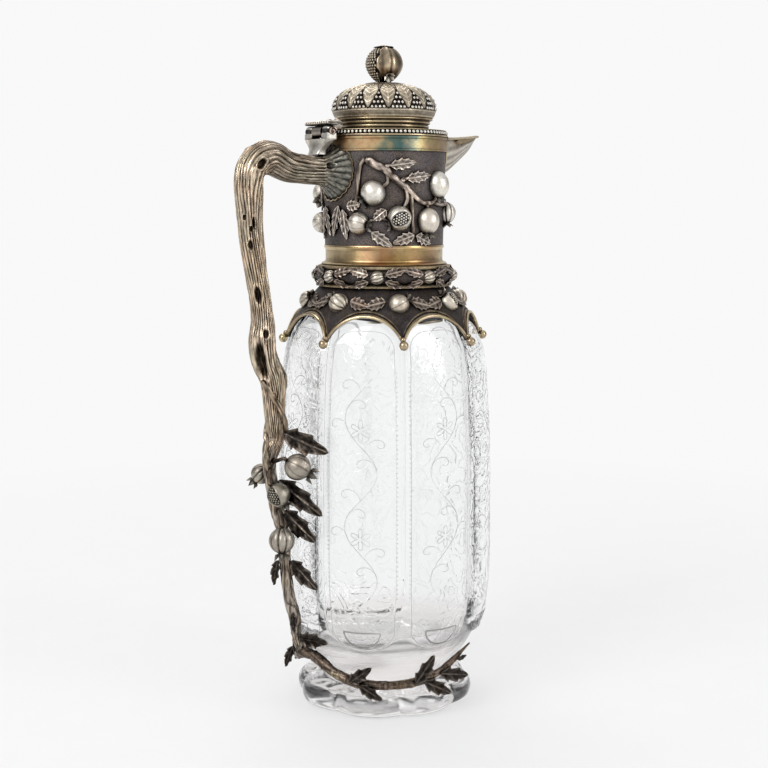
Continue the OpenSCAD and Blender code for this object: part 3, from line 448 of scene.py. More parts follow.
@dataclass(frozen=True)
class Silver:
    """Chased silver: dark in its hollows, rubbed bright where hands reach, tinted by tarnish."""

    name: str
    bright: Colour
    dark: Colour
    tints: tuple[Colour, ...]
    tint_share: float = 0.6
    tint_scale: float = 60.0
    rough: tuple[float, float] = (0.5, 0.34)
    hollow: tuple[float, float] = (0.4, 1.0)
    cavity: float = 0.003
    grain: float = 1400.0
    stretch: float = 1.0
    lines: float = 0.0
    bump: float = 0.12
    on_mesh: bool = True
    gilt: Colour = (0.58, 0.48, 0.31)
    around: tuple[float, float] | None = None

    def material(self) -> bpy.types.Material:
        """The finish as nodes.

        Wear is openness (ambient occlusion over the cavity distance) times the mesh's relief, less
        dark lines along the grain. It blends dark to bright and sets the roughness; noise lays
        patches of the tints over it, the mesh's gilding turns it to gilt, and the grain gives the
        cast surface.

        Returns:
            The material, made once for each name.
        """
        known = bpy.data.materials.get(self.name)
        if known:
            return known
        made, bench = new_material(self.name)
        place = bench.add("TexCoord").outputs["Object"]
        flow = bench.add("Attribute", {"attribute_name": "flow"}).outputs["Vector"] if self.on_mesh else place
        drawn = bench.add("Mapping", None, {"Vector": flow, "Scale": (1.0, 1.0, self.stretch)}).outputs[0]
        open_air = bench.add("AmbientOcclusion", {"samples": 8}, {"Distance": self.cavity}).outputs["AO"]
        wear = bench.spread(open_air, self.hollow[0], self.hollow[1])
        # The mesh's relief also carries painted shade: the finial's underside and the lid's bead channel.
        if self.on_mesh:
            relief = bench.add("Attribute", {"attribute_name": "relief"}).outputs["Fac"]
            wear = bench.sum("MULTIPLY", wear, relief)
        fine = bench.noise(drawn, self.grain, 5.0, 0.6)
        rub = bench.noise(place, self.tint_scale * 4.0, 3.0)
        wear = bench.sum("ADD", wear, bench.spread(rub, 0.3, 0.7, -0.16, 0.1), clamp=True)
        wear = bench.sum("MULTIPLY", wear, bench.spread(fine, 0.4, 0.58, 1.0 - self.lines, 1.0))
        colour = bench.mix(wear, self.dark, self.bright)
        if self.on_mesh:
            gilding = bench.add("Attribute", {"attribute_name": "gilding"}).outputs["Fac"]
            shadow = tuple(c * 0.12 for c in self.gilt)
            colour = bench.mix(gilding, colour, bench.mix(wear, shadow, self.gilt))
        patch = bench.noise(place, self.tint_scale, 4.0, 0.6)
        patch = bench.spread(patch, 0.3, 0.7)
        # With around set, the tints follow the azimuth; on the mouth band this puts its painted shade at the end
        # under the hinge.
        if self.around:
            part = bench.add("SeparateXYZ", None, {0: place}).outputs
            turn = bench.sum("ARCTAN2", part[1], part[0])
            turn = bench.spread(turn, *(math.radians(a) for a in self.around))
            patch = bench.sum("ADD", turn, bench.spread(patch, 0.0, 1.0, -0.14, 0.14), True)
        ramp = bench.add("ValToRGB", None, {0: patch})
        stops = ramp.color_ramp.elements
        while len(stops) < len(self.tints):
            stops.new(0.5)
        for k, tint in enumerate(self.tints):
            stops[k].position, stops[k].color = k / (len(self.tints) - 1), (*tint, 1.0)
        veil = bench.spread(bench.noise(place, self.tint_scale * 0.6, 2.0), 0.35, 0.65,
                            max(0.0, self.tint_share - 0.6), self.tint_share)
        tinted = bench.add("Mix", {"data_type": "RGBA", "blend_type": "MULTIPLY"},
                           {0: veil, 6: colour, 7: ramp.outputs[0]}).outputs[2]
        rough = bench.spread(wear, 0.0, 1.0, self.rough[0], self.rough[1])
        bump = bench.add("Bump", None, {"Strength": self.bump, "Distance": 0.0003, "Height": fine})
        shader = bench.add("BsdfPrincipled", None, {
            "Base Color": tinted, "Metallic": 1.0, "Roughness": rough, "Normal": bump.outputs[0]})
        bench.finish(shader.outputs[0])
        return made


CREAM: tuple[Colour, ...] = ((1.0, 0.88, 0.72), (1.0, 0.97, 0.9), (0.8, 0.7, 0.62), (0.97, 0.93, 0.88))
RUBBED = Silver("rubbed_silver", (0.9, 0.87, 0.8), (0.02, 0.016, 0.014), CREAM, 0.7, 110.0, (0.54, 0.42),
                grain=900.0, lines=0.16)
DEEP_CUT = replace(RUBBED, name="chased_silver", bright=(0.78, 0.72, 0.62),
                   tints=(*CREAM, (0.55, 0.46, 0.42)))
SPRAY_FRUIT = replace(DEEP_CUT, name="grey_fruits", bright=(0.56, 0.51, 0.44), hollow=(0.3, 1.0),
                      cavity=0.006, tint_share=1.0,
                      tints=((1.0, 0.9, 0.8), (0.86, 0.9, 0.86), (0.6, 0.56, 0.54), (1.0, 0.95, 0.86)))
GROUND = Silver("matted_ground", (0.17, 0.15, 0.14), (0.012, 0.01, 0.01),
                ((1.0, 0.8, 0.78), (0.9, 0.9, 1.0), (1.0, 0.9, 0.8), (0.6, 0.58, 0.66), (1.0, 1.0, 1.0)),
                1.0, 70.0, (0.62, 0.46), grain=1900.0, lines=0.5, bump=0.8)
FOLIAGE = Silver("chased_foliage", (0.74, 0.64, 0.53), (0.014, 0.012, 0.01),
                 ((1.0, 0.78, 0.58), (0.9, 0.82, 0.88), (1.0, 0.92, 0.8)), 0.9, 130.0, (0.5, 0.34))
NECK_LEAF = replace(FOLIAGE, name="neck_foliage", bright=(0.97, 0.88, 0.8), dark=(0.03, 0.026, 0.024),
                    tints=CREAM, hollow=(0.1, 0.8))
GILT = Silver("worn_gilding", (0.6, 0.5, 0.33), (0.02, 0.012, 0.008),
              ((1.0, 0.84, 0.62), (1.0, 1.0, 1.0), (0.5, 0.42, 0.46), (0.95, 0.95, 0.8), (0.62, 0.66, 0.6)),
              0.9, 80.0, (0.48, 0.28), cavity=0.002)
# Heat tints of the mouth band laid in order round the jug; the first, near-black stop is painted shade at the
# band's end under the hinge.
HEAT_TINT_AND_SHADE = Silver("heat_tint_and_painted_shade_band", (0.52, 0.44, 0.32), (0.02, 0.014, 0.012),
                 ((0.06, 0.06, 0.07), (1.0, 0.7, 0.5), (1.0, 0.92, 0.7), (0.26, 0.44, 0.48),
                  (0.16, 0.36, 0.46), (0.72, 0.74, 0.5), (1.0, 0.84, 0.62), (0.7, 0.6, 0.5)),
                 1.3, 140.0, (0.5, 0.34), cavity=0.0015, around=(-168.0, -50.0))
BARK = Silver("chased_bark", (0.98, 0.84, 0.67), (0.045, 0.033, 0.022),
              ((1.0, 0.88, 0.74), (0.92, 0.92, 0.84), (0.92, 0.78, 0.68), (1.0, 0.96, 0.88)), 0.9, 60.0,
              (0.52, 0.34), grain=1100.0, stretch=0.12, lines=0.62, bump=0.8, gilt=(0.36, 0.37, 0.34))
VINE = Silver("oxidised_vine", (0.3, 0.23, 0.17), (0.007, 0.006, 0.005),
              ((1.0, 0.8, 0.6), (0.8, 0.8, 0.9), (1.0, 0.92, 0.8)), 0.8, 90.0, (0.5, 0.34), grain=900.0,
              stretch=0.08, lines=0.75, bump=0.6)
STEM = replace(VINE, name="stem_bark", bright=(0.6, 0.52, 0.42))
CROWN = replace(RUBBED, name="crown_silver", hollow=(0.0, 0.45))
SPRAY_LEAF = Silver("oxidised_leaves", (0.24, 0.2, 0.165), (0.007, 0.006, 0.005),
                    ((1.0, 0.84, 0.68), (0.8, 0.82, 0.9), (0.5, 0.44, 0.42)), 0.8, 100.0, (0.46, 0.3),
                    grain=700.0, lines=0.5, bump=0.4)
TWIG = replace(BARK, name="pinkish_twigs", bright=(0.92, 0.8, 0.72), tints=CREAM, stretch=0.15, lines=0.35)
SPOUT = replace(RUBBED, name="spout_silver", bright=(0.66, 0.62, 0.55), hollow=(0.2, 0.9))
BRACKET = replace(RUBBED, name="bracket_silver")
DOME = replace(DEEP_CUT, name="dome_silver", bright=(0.74, 0.66, 0.52), cavity=0.0016)
FINIAL = replace(RUBBED, name="finial_silver", bright=(0.66, 0.54, 0.4), rough=(0.5, 0.26),
                 tints=((1.0, 0.74, 0.5), (1.0, 0.95, 0.85), (0.6, 0.6, 0.56), (0.9, 0.8, 0.66)), tint_share=1.0)
SEEDS = replace(RUBBED, name="dark_seeds", bright=(0.5, 0.44, 0.36), cavity=0.0012)
BAND = replace(GILT, name="tinted_gilt_band", tint_share=1.0, around=(-178.0, -50.0),
               tints=((0.8, 0.72, 0.62), (1.0, 0.9, 0.66), (0.72, 0.42, 0.3), (1.0, 0.82, 0.5),
                      (0.8, 0.52, 0.4), (1.0, 0.92, 0.74)))
GILT_PLAIN = replace(GILT, name="plain_gilding", on_mesh=False)
DARK_METAL = replace(FOLIAGE, name="plain_lug", bright=(0.1, 0.085, 0.07), on_mesh=False)


@dataclass(frozen=True)
class Frost:
    """Wheel-engraved line: a dull grey-white skin that lets some of the glass show."""

    name: str = "engraved_frost"
    shades: tuple[Colour, Colour] = ((0.84, 0.84, 0.85), (0.93, 0.93, 0.93))

    def material(self) -> bpy.types.Material:
        """Rough translucent glass broken by a fine noise."""
        made, bench = new_material(self.name)
        place = bench.add("TexCoord").outputs["Object"]
        grain = bench.noise(place, 2600.0, 2.0)
        rough = bench.spread(grain, 0.3, 0.7, 0.4, 0.6)
        shader = bench.add("BsdfPrincipled", None, {
            "Base Color": bench.mix(grain, *self.shades), "IOR": 1.3,
            "Transmission Weight": 0.75, "Roughness": rough})
        bench.finish(shader.outputs[0])
        return made


@dataclass(frozen=True)
class Glass:
    """Clear cut glass, frosted where the wheel engraved it."""

    name: str = "cut_glass"
    tint: Colour = (0.985, 0.99, 0.99)
    haze: Colour = (0.9, 0.865, 0.85)
    refraction: float = 1.5

    def material(self) -> bpy.types.Material:
        """Clear dielectric, its engraved panels covered with curling relief.

        The relief is a wave of a noise: |sin| of 30 times the noise draws closed curls, a finer
        noise hatches them, and both only stand where the mesh's relief marks a panel. The bare cone
        and foot, marked by the mesh's gilding, are a little rough and wavy, with a faint pinkish
        haze in level streaks.

        Returns:
            The material.
        """
        made, bench = new_material(self.name)
        place = bench.add("TexCoord").outputs["Object"]
        engraved = bench.add("Attribute", {"attribute_name": "relief"}).outputs["Fac"]
        swirl = bench.noise(place, 75.0, 2.0, 0.45)
        curls = bench.sum("SINE", bench.sum("MULTIPLY", swirl, 30.0), 0.0)
        curls = bench.sum("ABSOLUTE", curls, 0.0)
        curls = bench.spread(curls, 0.0, 0.5)
        hatch = bench.spread(bench.noise(place, 420.0, 3.0), 0.35, 0.65)
        cut = bench.sum("ADD", curls, bench.sum("MULTIPLY", hatch, 0.3))
        cut = bench.sum("MULTIPLY", cut, engraved)
        bare = bench.add("Attribute", {"attribute_name": "gilding"}).outputs["Fac"]
        level = bench.add("Mapping", None, {"Vector": place, "Scale": (1.0, 1.0, 6.0)}).outputs[0]
        wave = bench.noise(level, 60.0, 4.0)
        cut = bench.sum("ADD", cut, bench.sum("MULTIPLY", bench.sum("MULTIPLY", wave, bare), 1.6))
        bump = bench.add("Bump", None, {"Strength": 0.42, "Distance": 0.00028, "Height": cut})
        rough = bench.sum("MULTIPLY", bench.spread(curls, 0.0, 1.0, 0.2, 0.03), engraved)
        rough = bench.sum("ADD", rough, bench.sum("MULTIPLY", bare, 0.2))
        streaks = bench.spread(wave, 0.35, 0.65, 0.5, 1.0)
        tone = bench.mix(bench.sum("MULTIPLY", bare, streaks), self.tint, self.haze)
        shader = bench.add("BsdfPrincipled", None, {
            "Base Color": tone, "IOR": self.refraction, "Transmission Weight": 1.0,
            "Roughness": rough, "Normal": bump.outputs[0]})
        bench.finish(shader.outputs[0])
        return made


@dataclass(frozen=True)
class Plaster:
    """Dry bedding plaster, grained."""

    name: str = "bedding_plaster"
    shades: tuple[Colour, Colour] = ((0.6, 0.57, 0.5), (0.84, 0.82, 0.76))

    def material(self) -> bpy.types.Material:
        """Chalky colour with darker grains and a rough bump."""
        made, bench = new_material(self.name)
        place = bench.add("TexCoord").outputs["Object"]
        grain = bench.noise(place, 1800.0, 4.0)
        bump = bench.add("Bump", None, {"Strength": 0.5, "Distance": 0.0003, "Height": grain})
        shader = bench.add("BsdfPrincipled", None, {
            "Base Color": bench.mix(bench.spread(grain, 0.35, 0.65), *self.shades),
            "Roughness": 0.9, "Normal": bump.outputs[0]})
        bench.finish(shader.outputs[0])
        return made


# ---- Making pieces ----

BODY_OF = {node: body for body, nodes in frame["record"]["behaviour"]["bodies"].items() for node in nodes}


def make_piece(name: str, solid: Solid, finish: Silver | Frost | Glass, *nodes: str,
               like: str = "") -> bpy.types.Object:
    """Puts a solid into the scene as a piece of the jug.

    Args:
        name: The piece's name.
        solid: Its surface in millimetres.
        finish: What it is made of.
        nodes: CAD nodes that it stands for.
        like: Where it stands for none, the CAD node whose body it shares.

    Returns:
        The object, at the origin, with its place in its mesh.
    """
    mesh = bpy.data.meshes.new(name)
    quads, tris = solid.quads, solid.tris
    mesh.vertices.add(len(solid.points))
    mesh.vertices.foreach_set("co", (solid.points * MM).astype(np.float32).ravel())
    mesh.loops.add(quads.size + tris.size)
    corners = np.concatenate([quads.ravel(), tris.ravel()])
    mesh.loops.foreach_set("vertex_index", corners.astype(np.int32))
    mesh.polygons.add(len(quads) + len(tris))
    starts = np.concatenate([np.arange(len(quads)) * 4, quads.size + np.arange(len(tris)) * 3])
    mesh.polygons.foreach_set("loop_start", starts.astype(np.int32))
    mesh.update(calc_edges=True)
    mesh.shade_smooth()
    mesh.set_sharp_from_angle(angle=CREASE)
    for label, values in (("relief", solid.relief), ("gilding", solid.gilding)):
        mark = mesh.attributes.new(label, "FLOAT", "POINT")
        mark.data.foreach_set("value", np.clip(values, 0.0, 1.0).astype(np.float32))
    flow = mesh.attributes.new("flow", "FLOAT_VECTOR", "POINT")
    flow.data.foreach_set("vector", (solid.flow * MM).astype(np.float32).ravel())
    mesh.materials.append(finish.material())
    made = bpy.data.objects.new(name, mesh)
    bpy.context.scene.collection.objects.link(made)
    model = like or nodes[0]
    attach(made, BODY_OF[model])
    if nodes:
        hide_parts(*nodes)
    LOG.info("%s: %d faces on %s", name, len(quads) + len(tris), BODY_OF[model])
    return made


def dress_node(node: str, finish: Silver | Plaster) -> None:
    """Gives a CAD node that stays its finish."""
    piece = frame["nodes"][node]
    piece.data.materials.clear()
    piece.data.materials.append(finish.material())
    LOG.info("%s dressed", node)


# ---- Leaves, fruits and twigs ----

@dataclass(frozen=True)
class Leaf:
    """A serrated leaf, folded up along its midrib and curling down at the tip; x runs along it."""

    length: float
    width: float
    fold: float = 0.2
    curl: float = 0.04
    teeth: int = 4
    thick: float = 0.6
    stations: int = 40
    across: int = 9
    vein_depth: float = 0.14
    wave: float = 0.0

    def solid(self) -> Solid:
        """The leaf.

        At share s of the length the half width is W/2 sin(pi s^0.8)^0.75, which each tooth widens
        from 0.8 to 1.14 of itself towards its own tip. At share t across, the face stands at fold
        |t| half, plus a midrib and slanting veins, less curl times s squared and plus one slow wave;
        the back lies a thickness below.

        Returns:
            The closed leaf in its own frame.
        """
        s = np.linspace(0.012, 0.988, self.stations)[:, None]
        t = np.linspace(-1.0, 1.0, self.across)[None]
        tooth = np.mod(self.teeth * s + 0.1, 1.0)
        half = self.width / 2 * np.sin(np.pi * s ** 0.8) ** 0.75 * (0.8 + 0.34 * tooth ** 2)
        half = np.maximum(half, self.width * 0.03)
        rib = ridge(t * half, 0.03 * self.width + 0.07)
        veins = (0.5 + 0.5 * np.cos(2 * np.pi * (self.teeth * s + 0.1 - 0.75 * np.abs(t)))) ** 5
        veins = veins * smooth(3 * np.abs(t))
        bend = -self.curl * self.length * s * s + self.wave * np.sin(2 * np.pi * s) * self.length
        bend = bend + 0.05 * self.width * np.sin(2 * np.pi * (self.teeth * s)) * np.abs(t) ** 2
        face = bend + self.fold * np.abs(t) * half + self.vein_depth * (1.8 * rib + 0.8 * veins)
        back = bend + self.fold * np.abs(t) * half - self.thick * (1.0 - 0.75 * np.abs(t) ** 2)
        x = self.length * s * np.ones_like(t)
        top = np.stack([x, t * half, face], -1)
        under = np.stack([x, t * half, back], -1)
        grid = np.concatenate([top, under[:, ::-1]], axis=1)
        edge = smooth((np.abs(t) - 0.7) / 0.2) * np.ones_like(s)
        worn = np.clip(0.14 + 0.75 * rib + 0.3 * veins + 0.6 * edge, 0, 1)
        return Solid.lofted(grid, np.concatenate([worn, 0.3 * worn[:, ::-1]], axis=1))

    def wrapped(self, face: Callable[[Array], Array], azimuth: float, height: float, degrees: float,
                girth_r: float) -> Solid:
        """The leaf laid on a mount that is round about the jug's axis.

        Its own x and y, turned by the given degrees, become arc over the girth's radius and height.

        Args:
            face: Radius of the mount at a height.
            azimuth: Azimuth of the leaf's foot.
            height: Height of the leaf's foot.
            degrees: Turn of the leaf, 0 towards rising azimuths and 90 upwards.
            girth_r: Radius on which its length is laid off.

        Returns:
            The leaf in its place.
        """
        turn = math.radians(degrees)

        def lay(p: Array) -> Array:
            """Wraps the leaf's frame."""
            along = p[:, 0] * math.cos(turn) - p[:, 1] * math.sin(turn)
            z = height + p[:, 0] * math.sin(turn) + p[:, 1] * math.cos(turn)
            return polar(face(z) + SEAT + p[:, 2], azimuth + np.degrees(along / girth_r), z)
        return self.solid().moved(lay)


class Rind(Enum):
    """How a fruit's rind is worked."""

    PLAIN = "plain"
    STRIPED = "striped"
    RIBBED = "ribbed"
    SPLIT = "split"


@dataclass(frozen=True)
class Pomegranate:
    """A pomegranate lying along x with its crown at the far end."""

    radius: float
    rind: Rind = Rind.PLAIN
    stretch: float = 1.0
    crown: float = 1.0
    opening: tuple[float, float, float] = (0.0, 0.0, 1.0)
    opening_size: tuple[float, float] = (0.78, 0.52)
    rings: int = 30
    count: int = 48
    seed_share: float = 0.12

    def solid(self) -> Solid:
        """Rind and crown.

        The rind's point at angle a from the stalk and turn b is (-R stretch cos a, R sin a cos b,
        R sin a sin b), drawn in by the rind's lines and, inside an ellipse about the opening, sunk
        by a fifth behind a raised lip. The crown is a flared collar with six points.

        Returns:
            The closed solids as one.
        """
        a = np.linspace(0.02, np.pi - 0.02, self.rings)[:, None]
        b = (np.arange(self.count) * 2 * np.pi / self.count)[None]
        depth, worn = np.zeros_like(a * b), np.ones_like(a * b)
        if self.rind is Rind.STRIPED:
            line = ridge(np.mod(b * 9 / (2 * np.pi) + 0.5, 1.0) - 0.5, 0.07)
            depth, worn = -0.02 * line, 1 - 0.6 * line * np.ones_like(a)
        elif self.rind is Rind.RIBBED:
            lobe = np.abs(np.cos(4.5 * b))
            depth, worn = -0.09 * (1 - lobe) ** 2, 0.25 + 0.75 * smooth(lobe * 1.5) * np.ones_like(a)
        else:
            depth = 0.012 * np.cos(5 * b) * np.sin(a)
        way = np.stack([-np.cos(a) * np.ones_like(b), np.sin(a) * np.cos(b), np.sin(a) * np.sin(b)], -1)
        if self.rind is Rind.SPLIT:
            centre, side, along = self.opening_axes()
            spot = np.hypot((way @ along) / self.opening_size[0], (way @ side) / self.opening_size[1])
            spot = np.where(way @ centre > 0, spot, 9.0)
            depth = depth - 0.2 * smooth((1.0 - spot) / 0.16) + 0.035 * ridge(spot - 1.12, 0.12)
            worn = worn * (1 - 0.96 * smooth((1.05 - spot) / 0.12))
        reach = self.radius * (1 + depth) * (1 - 0.05 * smooth(-way[..., 0]))
        points = way * reach[..., None] * np.array([self.stretch, 1.0, 1.0])
        worn = np.clip(worn * (1 - 0.5 * smooth((way[..., 0] - 0.9) / 0.1)), 0, 1)
        solids = [Solid.lofted(points, worn)]
        if self.crown > 0:
            solids.append(self.calyx())
        if self.rind is Rind.SPLIT:
            solids.append(self.seeds())
        return Solid.joined(solids)

    def opening_axes(self) -> tuple[Array, Array, Array]:
        """Unit directions of the opening: out of it, across it and along it."""
        centre = unit(np.asarray(self.opening, float))
        side = unit(np.cross(centre, [1.0, 0.0, 0.0]))
        return centre, side, np.cross(side, centre)

    def calyx(self) -> Solid:
        """The crown: a collar that rises outside and falls inside, its edge cut to six points."""
        turn = (np.arange(36) * 2 * np.pi / 36)[None]
        point = 1 - np.abs(np.mod(turn * 6 / (2 * np.pi), 1.0) * 2 - 1)
        rise = np.array([0.0, 0.12, 0.4, 0.8, 1.0, 0.75, 0.3, 0.1])[:, None]
        spread = np.array([0.36, 0.3, 0.32, 0.46, 0.56, 0.4, 0.22, 0.1])[:, None]
        tip = 0.16 + 0.3 * self.crown * point
        x = self.radius * self.stretch * (0.93 + rise * tip)
        rho = self.radius * (spread + 0.08 * rise * point) * (1 - 0.06 * (1 - point))
        grid = np.stack([x, rho * np.cos(turn), rho * np.sin(turn)], -1)
        worn = np.array([0.2, 0.3, 0.6, 0.95, 1.0, 0.5, 0.2, 0.1])[:, None] * (0.5 + 0.5 * point)
        return Solid.lofted(grid, np.clip(worn, 0, 1))

    def seeds(self) -> Solid:
        """Seeds on a hexagonal lattice over the opening, each a small ball set in its floor."""
        size = 0.9 * self.seed_share * self.radius
        centre, side, along = self.opening_axes()
        rows, places = np.meshgrid(np.arange(-9, 10), np.arange(-9, 10), indexing="ij")
        step = self.seed_share * 2.05
        q = (rows * step * 0.87).ravel()
        p = ((places + 0.5 * (rows % 2)) * step).ravel()
        keep = np.hypot(p / self.opening_size[0], q / self.opening_size[1]) < 0.94
        p, q = p[keep], q[keep]
        lift = np.sqrt(np.maximum(0.05, 1 - p * p - q * q))
        way = unit(p[:, None] * along + q[:, None] * side + lift[:, None] * centre)
        places = way * (self.radius * 0.85) * np.array([self.stretch, 1.0, 1.0])
        return ball(size, 4, 7).repeated(places)


def ribbed(path: Array, radii: Array, sides: int, seed: int, wander: tuple[float, int, int],
           reference: Sequence[float], swell: Array | float = 0.0, taper: Array | float = 1.0,
           gold: Array | float = 0.0) -> Solid:
    """A stem whose bark runs along it in seven ribs.

    The ribs are |cos(pi (7 u + wander))|^0.6 at share u of the way round, and the radius is the
    stem's own times 0.86, plus 0.14 of the ribs, the swelling and a twentieth of fine grain.

    Args:
        path: Its centre line, one point a row.
        radii: Its radius at each point.
        sides: Points round it.
        seed: Seed of the ribs' wandering; the next one is the grain's.
        wander: How far the ribs wander, cells of the wandering along it and of the grain.
        reference: A direction that it never follows.
        swell: Share of the radius added at each point.
        taper: Factor of the radius at each point.
        gold: Gilding at each point.

    Returns:
        The closed stem.
    """
    v, u = np.linspace(0, 1, len(path))[:, None], (np.arange(sides) / sides)[None]
    far, slow, quick = wander
    line = np.abs(np.cos(np.pi * (7 * u + far * Grain(seed, 4, slow).at(u, v)))) ** 0.6
    r = radii * (0.86 + 0.14 * line + swell + 0.05 * Grain(seed + 1, 16, quick).at(u, v)) * taper
    return Solid.lofted(sections(path, r, reference), 0.1 + 0.9 * line, gold)


def twig(path: Array, thick: float, thin: float, sides: int = 14, seed: int = 3, knots: float = 0.1,
         reference: Sequence[float] = (0.0, 1.0, 0.0)) -> Solid:
    """A knotted twig along a path.

    The radius runs from thick to thin, times one plus long grains and slow swellings.

    Args:
        path: Its centre line, one point a row.
        thick: Radius at the start.
        thin: Radius at the end.
        sides: Points round it.
        seed: Seed of its grain.
        knots: Height of the grain as a share of the radius.
        reference: A direction that it never follows.

    Returns:
        The closed twig.
    """
    v = np.linspace(0.0, 1.0, len(path))[:, None]
    u = (np.arange(sides) / sides)[None]
    grain = Grain(seed, max(5, sides // 2), max(4, len(path) // 6)).at(u, v)
    swell = Grain(seed + 1, 1, max(4, len(path) // 7)).at(u, v)
    radii = (thick + (thin - thick) * v) * (1 + knots * grain + 0.6 * knots * swell)
    radii *= np.minimum(1.0, 0.45 + 12 * np.minimum(v, 1 - v))
    length = np.cumsum(np.linalg.norm(np.gradient(path, axis=0), axis=1))[:, None]
    return Solid.lofted(sections(path, radii, reference), np.clip(0.55 + 0.55 * grain, 0.05, 1),
                        flow=polar(radii, u * 360.0, length))


# ---- Sizes shared by the pieces ----

LOBES = 8
PITCH = 360.0 / LOBES
SEAT = 0.3


@dataclass(frozen=True)
class Stack:
    """Heights and radii of the jug's stacked mounts, in millimetres."""

    waist_z: float = 10.4
    lobe_z: float = 30.4
    collar_z: float = 163.0
    knop_z: float = 186.0
    band_z: float = 195.4
    sleeve_z: float = 204.0
    rim_z: float = 244.0
    mouth_z: float = 250.0
    lid_z: float = 250.3
    step_z: float = 253.3
    dome_z: float = 258.3
    root_z: float = 236.0
    crest_r: float = 48.0
    collar_r: float = 42.8
    collar_top_r: float = 28.4
    bore_r: float = 24.0

    def collar_face(self, z: Array) -> Array:
        """Radius of the collar's face: 42.8 drawn in by 14.4 t^1.5 over the collar's height."""
        t = np.clip((z - self.collar_z) / (self.knop_z - self.collar_z), 0.0, 1.0)
        return self.collar_r - (self.collar_r - self.collar_top_r) * t ** 1.5

    def sleeve_face(self, z: Array) -> Array:
        """Radius of the sleeve's face, 26 at its foot and 27 at its top."""
        return 26.0 + (z - self.sleeve_z) / (self.rim_z - self.sleeve_z)


STACK = Stack()


def from_crest(degrees: Array) -> Array:
    """Degrees from the nearest lobe's crest, 0 to 22.5."""
    return np.abs(np.mod(degrees + PITCH / 2, PITCH) - PITCH / 2)


# ---- Glass ----

